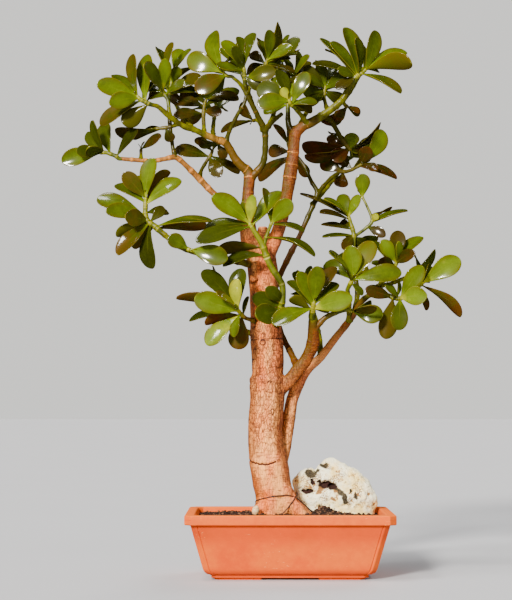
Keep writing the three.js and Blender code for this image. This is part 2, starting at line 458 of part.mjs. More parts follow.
// ---- Leafy shoots ----
// Each shoot goes on from the twig it is named after. stems holds routes [x, depth, z, radius], the first
// one from the twig's end. leaves holds [root x, root z, tip x, tip z, breadth seen, depth of the tip past
// the root]. A negative breadth shows the blade's underside.
const SHOOTS = {
  left: {
    stems: [[[-179, -30, 594, 2.6], [-188.5, -31, 599, 2.4], [-193, -31, 604, 1.8]]],
    leaves: [
      [-190, 601, -243, 619, 24, -12], [-190, 600, -227.6, 593.6, 22, -16],
      [-193, 604, -198.5, 656.5, 14, 4],
      [-193, 604, -222, 630, 15, 20], [-182, 596, -180, 656, 22, 12], [-186, 598, -239, 566, 20, 10],
      [-178, 593.5, -210, 567, -24, -6], [-186, 599, -172, 622, 10, 18],
    ],
  },
  left_far_up: {
    stems: [[[-153.6, -19, 599, 2.4], [-160, -14, 610, 2.4], [-157, -11, 626, 2], [-154.7, -9, 638, 1.7]]],
    leaves: [
      [-160, 610, -184, 643, 19, -16], [-160, 611, -186, 632, -10, -22], [-160, 612, -157, 651, 17, -14],
      [-154.7, 637, -148, 672, 10, 0], [-154.7, 637, -166, 664, 12, 14], [-156, 604, -131, 622, 13, -14],
      [-159, 608, -183, 612, 12, 8],
    ],
  },
  lower_left_up: {
    stems: [[[-151, 13, 605, 2.2], [-148, 15, 624, 2], [-145, 15, 638, 1.7]]],
    leaves: [
      [-145, 638, -136.8, 663, 18, -12], [-145, 638, -124, 663.4, 9, 6], [-148.4, 618, -139, 640, 15, -10],
      [-149, 610, -111, 629, 18, 6], [-149, 616, -170, 634, 16, 22], [-149, 606, -118, 612, 14, 14],
    ],
  },
  left_under: {
    stems: [[[-156, -5, 562.5, 2.2], [-170, -4, 561, 1.8]]],
    leaves: [[-170, 561, -220, 558, 12, 6], [-158, 562, -192, 549, 13, 22], [-157, 562, -148, 545, 14, 26]],
  },
  lower_left: {
    stems: [[[-219, -5, 526.5, 2.4], [-232, -5, 531, 2.3], [-240, -5, 530, 2]]],
    leaves: [
      [-240, 529, -287.5, 520.4, 23, -6], [-240, 530, -269, 534, 17, -22],
      [-239, 531, -253.5, 537.5, 10, -26],
      [-238, 531, -256, 556, 15, 10], [-234, 532, -248.5, 572, 11, -4], [-226, 529, -235, 568, 19, 6],
      [-218, 526, -191, 560, 15, 14],
    ],
  },
  far_left_single: {
    stems: [[[-187, 3, 536, 1.9]]],
    leaves: [[-187, 535, -161.5, 553, 13, -10], [-187, 535, -206, 549, 10, 26]],
  },
  outer_left: {
    stems: [
      [
        [-170.8, -50, 438.5, 3.2], [-177.5, -50, 443, 3.1], [-180.8, -50, 451, 2.8], [-181, -50, 464, 2.6],
        [-180.8, -50, 475, 2],
      ],
    ],
    leaves: [
      [-180.6, 474, -171, 524, 21, -6], [-181, 472, -209, 505.6, 20, 0], [-181, 467, -219, 490, 16, 14],
      [-181, 474, -193, 500, -10, 20], [-181, 464, -136, 496, 21, 2], [-181, 462, -150, 506, -6, 18],
      [-180, 454, -152, 455, 13, 22], [-180, 451, -242, 473, 22, 8], [-180, 450, -231, 456.5, 20, -12],
      [-178, 445, -207, 450, 22, -26], [-176, 442, -218, 425, -13, 6], [-176, 440, -216, 401, 21, -12],
      [-174, 440, -196, 409, -15, 10], [-174, 440, -172, 383.5, 19, -6], [-167, 438, -97, 444, 12, -8],
      [-170, 437, -197, 432, -16, 24], [-166, 435, -104, 436, -17, 12],
    ],
  },
  outer_left_low: {
    stems: [[[-124, -58, 407, 2.1]]],
    leaves: [[-125, 407, -77, 396, 25, -10], [-126, 408, -152, 424, 19, -10]],
  },
  front_stem: {
    stems: [
      [
        [-8, -34, 346, 4], [-8.5, -36, 363, 4.1], [-13, -38, 371.5, 4.2], [-19.5, -40, 381, 4.2],
        [-27, -42, 396, 4.1], [-34, -45, 415, 3.8], [-43.5, -49, 431, 3.1], [-51, -50, 443, 2.3],
      ],
      [[-32, -44, 410, 2.4], [-27, -47, 428, 2.2], [-21, -50, 444, 1.8]],
    ],
    leaves: [
      [-51, 442, -97, 476, 25, -10], [-50, 443, -44.7, 477, 15, -14], [-51, 443, -58, 471, 9, 8],
      [-50, 440, -106, 434.5, 15, 8], [-48, 436, -117, 417.5, 21, -4], [-47, 436, -10.7, 482, 21, 12],
      [-21, 444, -31, 486, 14, 14], [-21, 443, 3, 470, 23, -8], [-21, 442, 19.7, 431, 8, -6],
      [-28, 424, 33, 399.5, 8, -12], [-29, 402, -83.5, 387, 15, 4], [-9, 338, -46, 348, 21, -12],
      [-9, 340, -29, 360, 17, -20], [-10, 333, -42, 324, 27, -24], [-33, 412, -90, 405, -13, 18],
    ],
  },
  front_left: {
    stems: [[[-57, -44, 323, 2.5], [-61, -56, 327, 2.3], [-65, -66, 333, 1.8]]],
    leaves: [
      [-64, 332, -65.5, 371, 16, -10], [-63, 332, -61, 384, 21, 10], [-63, 331, -119, 347, 27, -8],
      [-64, 331, -91.5, 353, 8, -20], [-63, 330, -142, 346.5, -13, 12], [-62, 331, -108, 382, 21, 8],
      [-61, 324, -104, 288, 22, -6], [-61, 326, -69.5, 297.4, 11, -16], [-59, 325, -65, 282, -26, 4],
      [-59, 325, -106, 314, -11, 4], [-57, 324, -51, 349, 6, -4], [-60, 327, -96, 386, 6, 22],
    ],
  },
  lower_right: {
    stems: [[[30, -46, 333, 3], [32, -52, 343, 2]]],
    leaves: [
      [31, 332, -21, 314, 20, -10], [30, 336, 12, 380, 19, -8], [30, 334, -2, 368, 15, 8],
      [29, 331, 1.5, 347, -13, -18], [32, 340, 36, 387, 22, 4], [31, 334, 80, 348, 26, -16],
      [32, 338, 62, 365, 16, 4], [32, 340, 58, 386, 19, 14], [31, 333, 52, 333, 12, 10],
    ],
  },
  right_riser: {
    stems: [[[77, -36, 364, 2.8], [80.5, -40, 371, 2]]],
    leaves: [
      [80, 371, 78, 413, 24, -8], [80, 370, 106, 418, 24, -2], [79, 369, 142, 379, 23, -6],
      [79, 369, 45, 390, 20, 10], [79, 368, 51, 404, 8, -16], [78, 367, 10, 389, 9, 6],
      [78, 366, 92, 350, 9, -14],
    ],
  },
  side_right: {
    stems: [[[72.3, -30, 332, 2.8], [81, -30, 330, 2]]],
    leaves: [[80, 331, 118.4, 325, 24, -10], [78, 333, 108, 337, 10, -18], [78, 331, 104, 342, 10, 10]],
  },
  second_stem: {
    stems: [[[131, -29, 347.5, 2.8], [140, -30, 346, 2.6], [155, -24, 355, 2.3], [170, -14, 366, 1.8]]],
    leaves: [
      [141, 347, 168.5, 387, 23, -10], [142, 346, 174, 350, 24, -24], [138, 347, 121, 363, 10, -16],
      [131, 348, 96, 358, 17, 12], [139, 345, 138, 306, 22, -10], [131, 346, 121, 295, -24, 6],
      [136, 347, 138, 371, 6, 8], [169, 365, 216, 396, 27, -4], [169, 366, 178, 389, 10, 12],
      [166, 363, 216.4, 323, -9, 6], [164, 361, 173, 331, 9, -12],
    ],
  },
  far_right_up: {
    stems: [[[130, 15, 381, 2.6], [137, 20, 393, 2]]],
    leaves: [
      [136, 391, 117, 420, 18, -14], [137, 393, 138, 418, 9, -10], [135, 389, 138, 432, 21, 8],
      [137, 392, 168, 424, 15, 2], [136, 390, 159, 404, 16, -14], [131, 383, 104, 391, 9, -6],
      [132, 385, 105, 419, 15, 18], [133, 387, 113, 394, 15, -16], [137, 391, 156, 416, 14, 14],
    ],
  },
  right_high: {
    stems: [
      [[82, 30, 426, 2.8], [78.3, 30, 440.4, 2.4], [74.6, 30, 452, 1.8]],
      [[82, 30, 424, 2.2], [96.5, 32, 434.3, 2], [105, 32, 444, 2], [99, 37, 462, 1.7], [91, 41, 478, 1.5]],
    ],
    leaves: [
      [75, 451, 66.2, 478, 18, 8], [75, 450, 90, 477, 13, -8], [76, 449, 44.3, 472, 8, -6],
      [77, 446, 39, 455, 8, -16], [80, 434, 40.7, 440, 9, 10], [82, 427, 42, 424, 7, -8],
      [104, 444, 112, 453, 10, -8], [103, 441, 150, 457.5, 9, 0], [104, 443, 127, 458, 6, 16],
      [98, 436, 122, 425, 14, -10], [91, 477, 93.5, 504, 20, -6], [84, 425, 68, 408, 15, -8],
      [80, 437, 64, 441, 14, 16], [76, 448, 14, 479, 9, 14], [83, 424, 96, 412, 14, 12],
    ],
  },
  back_riser: {
    stems: [[[13, 54, 523, 2.2], [2, 56, 532, 1.9], [-2, 57, 545, 1.6]]],
    leaves: [
      [8, 527, -38, 495, 16, 4], [2, 532, -26, 532.6, 18, 10], [-2, 545, -19, 567, 10, 4],
      [9, 526, 24, 500, 15, 12],
      [-2, 545, 12, 566, 14, 16],
    ],
  },
  back_right: {
    stems: [[[74, 60, 507, 2.3], [86, 62, 512.4, 2.1], [95, 63, 518, 1.7]]],
    leaves: [
      [68, 506, 40, 519, 20, 6], [88, 513, 136.7, 498, 15, 4], [68, 506, 65, 487, 19, -8],
      [94, 517, 120, 559, 22, 6], [90, 515, 101, 538, 19, -12], [80, 510, 62, 527, 18, 16],
      [94, 517, 112, 508, 13, -8],
    ],
  },
  hanging: {
    stems: [[[72, 54, 541, 2.6], [79, 60, 533, 1.9]]],
    leaves: [
      [72, 541, 16.4, 539, 19, 8], [76, 537, 20, 527, 10, -6], [78, 534, 82, 556, 20, -8],
      [77, 535, 116, 568, 7, 6],
      [78, 534, 54, 522, 20, 12], [78, 533, 104, 526, 18, 10], [74, 539, 48, 550, 14, -8],
    ],
  },
  lower_left_dark: {
    stems: [[[-99, 31, 527, 2.1], [-96, 33, 535, 1.6]]],
    leaves: [
      [-100, 526, -144, 535, 18, -4], [-100, 525, -87, 500, 19, -10], [-98, 527, -62, 505, 13, 8],
      [-97, 533, -118, 549, 14, 14], [-97, 534, -84, 551, 11, 14],
    ],
  },
  near_fork: {
    stems: [[[-91, 15, 542, 2]]],
    leaves: [[-90, 542, -115, 543, 12, 18], [-90, 542, -80, 523, 13, 14]],
  },
  left_top: {
    stems: [[[-108, 15, 577, 2.5], [-107, 19, 590, 2.2], [-104, 21, 602, 1.7]]],
    leaves: [
      [-108, 581, -146, 576, 16, -8], [-107, 589, -150, 601, 20, 4], [-105, 598, -63, 599, 15, -6],
      [-107, 583, -85, 582, 15, -14], [-107, 580, -136, 567, -15, 16], [-104, 601, -118, 622, 15, 6],
      [-104, 601, -88, 621, 14, 8],
    ],
  },
  centre_under: {
    stems: [[[-46, 14, 571, 1.9]]],
    leaves: [[-45, 571, -86, 557, 12, 4], [-45, 571, -62, 592, 12, 22]],
  },
  centre: {
    stems: [[[-56, -21, 629, 2.4], [-57, -24, 641, 1.8]]],
    leaves: [
      [-57, 640, -85, 673, 17, -8], [-57, 641, -43.8, 684, 16, -6], [-57, 641, -51, 671, 10, 12],
      [-57, 640, -71, 666, 14, 14], [-57, 640, -64, 679, 14, 4], [-56, 624, -16.3, 635, 21, -12],
      [-56, 634, -92, 642, 12, -14],
    ],
  },
  crown_left: {
    stems: [[[-78, -26, 628.5, 2.1], [-84, -27, 634, 1.7]]],
    leaves: [
      [-82, 632, -128.4, 653, 27, -6], [-80, 630, -118, 609, 25, -8], [-82, 634, -96, 685, 21, 8],
      [-82, 633, -70, 652, 12, 22], [-79, 630, -92, 608, 13, 14],
    ],
  },
  crown_right: {
    stems: [[[-29, -1, 643.6, 2.2], [-26, 1, 651, 1.7]]],
    leaves: [
      [-26, 651, -24.8, 688, 15, -8], [-26, 651, -13, 695.4, 13, 6], [-27, 650, -37, 674, 13, 10],
      [-26, 648, 5, 667, 16, -8], [-27, 646, 12, 657, 9, 10], [-29, 644, 8, 633, 8, -6],
      [-29, 644, -48, 658, 14, 14], [-28, 645, -6, 640, 12, 14],
    ],
  },
  young_centre: {
    stems: [[[2, -48, 593, 2.2], [0, -51, 600, 1.6]]],
    leaves: [
      [0, 600, -9, 613, 12, -6], [1, 596, -40, 593, 22, -10], [1, 598, -40, 614, 27, 4],
      [3, 592, 24, 633, 20, -4],
      [0, 600, 6, 619, 13, 6], [3, 591, 36, 594, 12, -10],
    ],
  },
  mid_right: {
    stems: [[[-1, 12, 592, 2.6], [2, 15, 612, 2.2], [6, 18, 628, 1.8]]],
    leaves: [
      [0, 602, -22, 625, 18, 8], [-1, 594, -32, 581, 14, 8], [6, 627, 13, 660, 11, -8],
      [0, 596, 24, 588, 15, 14],
      [6, 627, 26, 655, 9, 6], [6, 626, -5, 652, 10, 12], [4, 619, 36, 631, 15, 12],
    ],
  },
  right_mid: {
    stems: [[[45, 11, 608, 2.2], [47, 12, 617, 1.7]]],
    leaves: [
      [46, 612, 73, 632, 17, -12], [45, 609, 18, 607, 17, -10], [45, 605, 22, 589, 16, -14],
      [46, 606, 66, 596, 15, -16],
      [47, 616, 60, 643, 14, 8], [46, 613, 18, 626, 15, 10], [47, 616, 38, 646, 15, 4],
      [47, 615, 75, 617, 15, 12],
    ],
  },
  right_low: {
    stems: [[[75, 3, 589, 2]]],
    leaves: [
      [75, 589, 82, 604, 18, 22], [75, 589, 89, 581, 7, -8], [74, 590, 44, 568, 15, 6],
      [74, 589, 60, 573, 15, 14],
    ],
  },
  right: {
    stems: [[[85, -15, 627, 3.2], [92, -15, 632, 2.6], [99, -15, 638, 1.9]]],
    leaves: [
      [87, 628, 71, 691, 20, -4], [86, 628, 53, 672, 15, -10], [88, 629, 85, 678, 11, 10],
      [85, 627, 40, 677, 11, 6],
      [98, 637, 110.5, 687, 19, -6], [98, 637, 150, 659, 17, 2], [98, 636, 156, 646, -21, -10],
      [93, 632, 143, 607, 13, -4], [85, 627, 62, 638, 13, -14],
    ],
  },
};

// Shoots behind, as [twig, number of leaf pairs, first turn of the pairs, seed].
const REAR_SHOOTS = [
  ["rear_a", 3, 0.4, 11],
  ["rear_b", 3, 1.1, 23],
  ["rear_c", 3, 0.2, 37],
  ["rear_d", 3, 0.9, 41],
  ["rear_e", 3, 0.5, 59],
  ["rear_f", 3, 1.3, 67],
  ["rear_g", 3, 0.1, 73],
  ["rear_h", 2, 0.8, 89],
  ["rear_i", 3, 0.3, 97],
  ["rear_j", 2, 1.0, 103],
  ["rear_k", 2, 0.6, 113],
  ["rear_l", 3, 1.4, 131],
];
const REAR_STEP = 12; // from one leaf pair to the next
const REAR_LENGTH = 46;
const REAR_ANGLE = 0.85; // how far a rear leaf stands off its stem, in radians

// Park and Miller's generator: the same draws wherever it is run.
function draws(seed) {
  let state = seed * 48271;
  return () => {
    state = (state * 16807) % 2147483647;
    return state / 2147483647;
  };
}

// ---- Leaf blades ----
// Stations along a blade: share of the length, share of the half width, share of the thickness.
const BLADE = [
  [0.28, 0.55, 1],
  [0.65, 1, 1],
  [0.92, 0.66, 0.8],
];

// A leaf's own axes: along it, across it, and off its upper face.
function leafAxes(root, tip, seen, stemWay) {
  const along = tip.clone().sub(root);
  const length = along.length();
  along.divideScalar(length);
  const width = Math.max(Math.abs(seen), Math.min(LEAF_MOST_WIDTH, LEAF_SLENDER * length));
  const away = new THREE.Vector3(0, 1, 0);
  const flat = along.clone().cross(away).normalize();
  const facing = along.clone().cross(flat).multiplyScalar(Math.sign(seen));
  const inward = root.clone().addScaledVector(stemWay, 40).sub(root.clone().lerp(tip, 0.5));
  const rise = flat.clone().multiplyScalar(flat.dot(inward) < 0 ? -1 : 1);
  const roll = Math.acos(Math.min(1, Math.abs(seen) / width));
  const up = facing.multiplyScalar(Math.cos(roll)).addScaledVector(rise, Math.sin(roll)).normalize();
  const across = up.clone().cross(along).normalize();
  return { root, length, width, along, across, up: along.clone().cross(across) };
}

function midrib(leaf, share) {
  const arch = LEAF_ARCH * leaf.length * Math.sin(Math.PI * share);
  return leaf.root
    .clone()
    .addScaledVector(leaf.along, share * leaf.length)
    .addScaledVector(leaf.up, arch);
}

function blade(leaf) {
  const rings = BLADE.map(([share, breadth, thick]) => {
    const middle = midrib(leaf, share);
    const half = (breadth * leaf.width) / 2;
    const deep = Math.min(LEAF_THICKNESS, 0.2 * leaf.width + 1) * thick;
    const lift = LEAF_CUP * half;
    const point = (side, height) =>
      middle.clone().addScaledVector(leaf.across, side).addScaledVector(leaf.up, height);
    return [point(half, lift), point(-half, lift), point(0, lift - deep)];
  });
  const heel = leaf.root.clone().addScaledVector(leaf.along, -LEAF_HEEL);
  return solid(loft([[heel], ...rings, [midrib(leaf, 1)]]));
}

// Points over the outer part of a blade, which has to stand clear of the other pieces.
function bladeSamples(leaf) {
  const samples = [];
  for (let i = 0; i <= 6; i++) {
    const share = 0.25 + i * 0.125;
    const half = (leaf.width / 2) * Math.sin(Math.PI * Math.min(0.97, 0.12 + 0.8 * share ** 1.2));
    const middle = midrib(leaf, share);
    for (let j = -2; j <= 2; j++) {
      samples.push({ share, point: middle.clone().addScaledVector(leaf.across, (half * j) / 2) });
    }
  }
  return samples;
}

// ---- Room among the leaves ----
const taken = []; // { point, reach, owner, share }

function takeRoute(route, owner) {
  for (let i = 0; i + 1 < route.length; i++) {
    const [from, to] = [route[i], route[i + 1]];
    const steps = Math.max(2, Math.ceil(from[0].distanceTo(to[0]) / 4));
    for (let j = 0; j <= steps; j++) {
      const reach = from[1] + ((to[1] - from[1]) * j) / steps;
      taken.push({ point: from[0].clone().lerp(to[0], j / steps), reach, owner, share: 0 });
    }
  }
}

function clashes(samples, owner) {
  const found = { others: false, own: false };
  for (const { point, share } of samples) {
    for (const other of taken) {
      const reach = LEAF_REACH + other.reach;
      if (point.distanceToSquared(other.point) > reach * reach) continue;
      if (other.owner !== owner) found.others = true;
      else if (share > 0.45 && other.share > 0.45) found.own = true;
    }
  }
  return found;
}

// A leaf that would cross another one bends towards the front or the back, by as little as clears it.
const BENDS = [0, -7, 7, -14, 14, -21, 21, -30, 30];

function placeLeaf(root, tipAt, seen, stemWay, owner) {
  let second = null;
  for (const bend of BENDS) {
    const leaf = leafAxes(root, tipAt(bend), seen, stemWay);
    const samples = bladeSamples(leaf);
    const found = clashes(samples, owner);
    if (!found.others && !found.own) return keep(leaf, samples);
    if (!found.others && !second) second = [leaf, samples];
  }
  return second ? keep(...second) : null;

  function keep(leaf, samples) {
    samples.forEach(({ point, share }) => taken.push({ point, reach: LEAF_REACH, owner, share }));
    return leaf;
  }
}

// ---- Assembling wood and shoots ----
const routeOf = (stations) => stations.map(([x, y, z, radius]) => [at(x, y, z), radius]);
const boughRoutes = new Map(Object.entries(BOUGHS).map(([name, stations]) => [name, routeOf(stations)]));

// The first stem of a shoot: it goes on square from the twig's cut end, one gap away.
function shootRoute(twig, stations) {
  const [before, [end, radius]] = boughRoutes.get(twig).slice(-2);
  const way = end.clone().sub(before[0]).normalize();
  const start = end.clone().addScaledVector(way, GAP);
  const collar = end.clone().addScaledVector(way, GAP + 2.5);
  return [[start, radius], [collar, radius], ...routeOf(stations)];
}

// The place on a shoot's stems nearest to a leaf's root in the elevation, and the way the stem runs there.
function rootOn(routes, x, z) {
  let best = null;
  for (const route of routes) {
    for (let i = route === routes[0] ? 1 : 0; i + 1 < route.length; i++) {
      for (let j = 0; j <= 3; j++) {
        const point = route[i][0].clone().lerp(route[i + 1][0], j / 4);
        const seen = at(x, point.y, z);
        const miss = seen.distanceToSquared(point);
        if (!best || miss < best.miss - 1e-6) {
          best = { miss, point, way: route[i + 1][0].clone().sub(route[i][0]).normalize() };
        }
      }
    }
  }
  return best;
}

function elevationShoot(name) {
  const { stems, leaves } = SHOOTS[name];
  const routes = [shootRoute(name, stems[0]), ...stems.slice(1).map(routeOf)];
  const grow = () =>
    leaves.map(([rootX, rootZ, tipX, tipZ, seen, deeper]) => {
      const { point, way } = rootOn(routes, rootX, rootZ);
      return placeLeaf(point, (bend) => at(tipX, point.y + deeper + bend, tipZ), seen, way, name);
    });
  return { name, routes, grow };
}

// A shoot at the back: pairs of leaves up its stem, each pair turned a right angle from the last.
function rearShoot([name, pairs, firstTurn, seed]) {
  const [before, [end, radius]] = boughRoutes.get(name).slice(-2);
  const way = end.clone().sub(before[0]).normalize();
  const step = (i) => [end.clone().addScaledVector(way, GAP + i * REAR_STEP), radius - 0.25 * i];
  const routes = [Array.from({ length: pairs + 1 }, (_, i) => step(i))];
  const grow = () => {
    const draw = draws(seed);
    const side = new THREE.Vector3(0, 0, 1).cross(way).normalize();
    const over = way.clone().cross(side);
    const placed = [];
    for (let i = 1; i <= pairs; i++) {
      for (const half of [0, 1]) {
        const turn = firstTurn + (Math.PI / 2) * i + Math.PI * half;
        const out = side.clone().multiplyScalar(Math.cos(turn)).addScaledVector(over, Math.sin(turn));
        const length = REAR_LENGTH * (1.05 - 0.17 * i + 0.2 * draw());
        const lean = REAR_ANGLE - 0.12 * i + 0.25 * (draw() - 0.5);
        const root = step(i)[0].clone().addScaledVector(way, -1.5);
        const heading = way.clone().multiplyScalar(Math.cos(lean)).addScaledVector(out, Math.sin(lean));
        const tip = root.clone().addScaledVector(heading, length);
        const seen = length * (0.22 + 0.2 * draw());
        placed.push(placeLeaf(root, (bend) => tip.clone().setY(tip.y + Math.abs(bend)), seen, way, name));
      }
    }
    return placed;
  };
  return { name, routes, grow };
}

const stemSolids = (routes) => routes.map((route) => limb(route, STEM_SIDES));
const boughSides = (route) => BOUGH_SIDES.find(([radius]) => route[0][1] >= radius)[1];

function shootBody({ routes, grow }) {
  const blades = grow().filter((leaf) => leaf !== null).map(blade);
  return joined([...stemSolids(routes), ...blades]);
}

function woodBody() {
  const rings = TRUNK_LEVELS.map(trunkRing);
  const foot = rings[0];
  rings.unshift(foot.map((p) => new THREE.Vector3(p.x, p.y, TRUNK_FOOT)));
  const boughs = [...boughRoutes.values()].map((route) => limb(route, boughSides(route)));
  return { body: joined([solid(loft(rings)), ...boughs]), foot };
}

// The wire tied round the trunk's foot, as [turn about the trunk in degrees, height, lift off the bark].
// It comes out of the soil behind on the left and goes over the front to the right flare. Its other end
// crosses over it.
const WIRE_ROUTES = {
  training_wire: [
    [150, 77.3, 0], [158, 82, 0], [172, 89, 0], [190, 92.5, 0], [215, 95, 0], [240, 97.4, 0],
    [265, 99.6, 0],
    [290, 100.3, 0], [310, 99.6, 0], [328, 96, 0], [340, 90, 0], [346, 85.5, 0], [349, 81.5, 0],
    [351, 77.3, 0],
  ],
  training_wire_end: [
    [356, 103, 0.6], [338, 101, 2.4], [318, 97.5, 2.5], [304, 92.5, 0.8], [292, 88.5, 0.2], [275, 81.5, 0],
    [264, 77.4, 0],
  ],
};

function trunkLevelAt(z) {
  const above = TRUNK_LEVELS.findIndex((level) => level[0] > z);
  if (above < 1) return TRUNK_LEVELS[0].slice(1);
  const [low, high] = [TRUNK_LEVELS[above - 1], TRUNK_LEVELS[above]];
  const share = (z - low[0]) / (high[0] - low[0]);
  return [1, 2, 3].map((i) => low[i] + (high[i] - low[i]) * share);
}

function wireBody(stations) {
  const points = stations.map(([degrees, z, lift]) => {
    const [left, right, halfDepth] = trunkLevelAt(z);
    const turn = THREE.MathUtils.degToRad(degrees);
    const off = WIRE_RADIUS + GAP + lift;
    const x = (left + right) / 2 + ((right - left) / 2 + off) * Math.cos(turn);
    return new THREE.Vector3(x, (halfDepth + off) * Math.sin(turn), z);
  });
  const round = Array.from({ length: 6 }, (_, j) => {
    const turn = (Math.PI * j) / 3;
    return new THREE.Vector2(WIRE_RADIUS * Math.cos(turn), WIRE_RADIUS * Math.sin(turn));
  });
  const steps = Math.round(1.3 * stations.length);
  const options = { steps, extrudePath: new THREE.CatmullRomCurve3(points), bevelEnabled: false };
  return solid(new THREE.ExtrudeGeometry(new THREE.Shape(round), options));
}

// ---- Finishes ----
const finish = (color, roughness) => new THREE.MeshStandardMaterial({ color, roughness, metalness: 0 });
const FINISHES = {
  terracotta: finish(0xa9653b, 0.8),
  soil: finish(0x2e2119, 0.95),
  limestone: finish(0xcfc6b2, 0.85),
  pebble: finish(0xd8c8a4, 0.7),
  bark: finish(0xa98a72, 0.75),
  leaf: finish(0x4f7a33, 0.35),
  wire: finish(0x4a3324, 0.5),
};

// ---- The whole plant ----
const plant = new THREE.Group();

function addPiece(name, body, material) {
  const mesh = new THREE.Mesh(geometryOf(body), material);
  mesh.name = name;
  plant.add(mesh);
}

const wood = woodBody();
const stone = stoneBody();
const trunkHole = shaft(widened(wood.foot, GAP + 0.2), TRUNK_FOOT - GAP, POT.height + 20);
const stoneHole = shaft(widened(stone.foot, GAP + 0.2), STONE_FOOT - GAP, POT.height + 20);
const shoots = [...Object.keys(SHOOTS).map(elevationShoot), ...REAR_SHOOTS.map(rearShoot)];
boughRoutes.forEach((route) => takeRoute(route, "wood"));
const trunkCore = TRUNK_LEVELS.slice(3).map(([z, left, right]) => {
  return [new THREE.Vector3((left + right) / 2, 0, z), 20];
});
takeRoute(trunkCore, "wood");
shoots.forEach(({ name, routes }) => routes.forEach((route) => takeRoute(route, name)));

addPiece("pot", potBody(), FINISHES.terracotta);
addPiece("soil", soilBody(trunkHole, stoneHole), FINISHES.soil);
addPiece("stone", stone.body, FINISHES.limestone);
addPiece("pebble", pebbleBody(), FINISHES.pebble);
addPiece("wood", wood.body, FINISHES.bark);
Object.entries(WIRE_ROUTES).forEach(([name, route]) => addPiece(name, wireBody(route), FINISHES.wire));
shoots.forEach((shoot) => addPiece("shoot_" + shoot.name, shootBody(shoot), FINISHES.leaf));

const bounds = new THREE.Box3().setFromObject(plant);
const middle = bounds.getCenter(new THREE.Vector3());
plant.position.set(-middle.x, -middle.y, -bounds.min.z);

export default plant;
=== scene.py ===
"""The finished looks of a jade bonsai in a footed terracotta pot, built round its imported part.

All sizes in this file are in millimetres, from the middle of the pot's foot, with X to the right, Y away and Z up.
"""

import logging
import math
from collections.abc import Callable
from dataclasses import dataclass, field
from enum import Enum

import bmesh
import bpy
import numpy as np
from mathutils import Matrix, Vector, noise


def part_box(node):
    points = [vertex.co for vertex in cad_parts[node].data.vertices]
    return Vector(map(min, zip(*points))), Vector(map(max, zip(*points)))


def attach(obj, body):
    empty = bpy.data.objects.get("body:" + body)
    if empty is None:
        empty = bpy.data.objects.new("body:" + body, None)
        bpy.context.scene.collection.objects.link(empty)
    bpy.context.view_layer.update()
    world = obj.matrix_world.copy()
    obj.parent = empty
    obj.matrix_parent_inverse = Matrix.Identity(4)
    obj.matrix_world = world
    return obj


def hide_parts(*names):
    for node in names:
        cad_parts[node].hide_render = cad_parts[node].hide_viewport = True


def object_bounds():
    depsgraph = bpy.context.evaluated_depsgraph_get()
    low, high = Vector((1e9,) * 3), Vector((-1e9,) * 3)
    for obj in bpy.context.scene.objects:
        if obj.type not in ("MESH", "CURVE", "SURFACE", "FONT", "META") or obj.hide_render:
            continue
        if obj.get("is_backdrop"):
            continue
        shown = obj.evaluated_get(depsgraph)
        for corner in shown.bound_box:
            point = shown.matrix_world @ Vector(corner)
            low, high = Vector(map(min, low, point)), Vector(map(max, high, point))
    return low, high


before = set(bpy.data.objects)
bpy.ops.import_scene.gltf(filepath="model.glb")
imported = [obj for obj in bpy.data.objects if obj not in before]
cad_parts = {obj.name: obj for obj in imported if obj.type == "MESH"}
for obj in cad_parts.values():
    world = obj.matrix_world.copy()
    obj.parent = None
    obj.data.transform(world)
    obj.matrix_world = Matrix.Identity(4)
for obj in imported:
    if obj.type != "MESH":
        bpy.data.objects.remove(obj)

Array = np.ndarray
Faces = list[tuple[int, ...]]
Material = bpy.types.Material
Mesh = bpy.types.Mesh
Piece = bpy.types.Object
Colour = tuple[float, float, float]
Named = dict[str | int, object] | None
Route = list[tuple[Array, float]]
TipAt = Callable[[float], Array]

LOG = logging.getLogger("jade_bonsai")
MM = 0.001
BODY = "root"
STATION = np.array((-41.5, -2200.0, 225.0))
GAP = 0.3
WIRE_RADIUS = 0.8


class Slot(Enum):
    """Names for the material slots, which set_out takes but does not use."""

    TERRACOTTA = "terracotta"
    SOIL = "soil"
    LIMESTONE = "limestone"
    PEBBLE = "pebble"
    BARK = "bark"
    LEAF = "leaf"
    WIRE = "wire"


class Side(Enum):
    """Which surface of a blade a point lies on."""

    UPPER = 1.0
    UNDER = 0.0


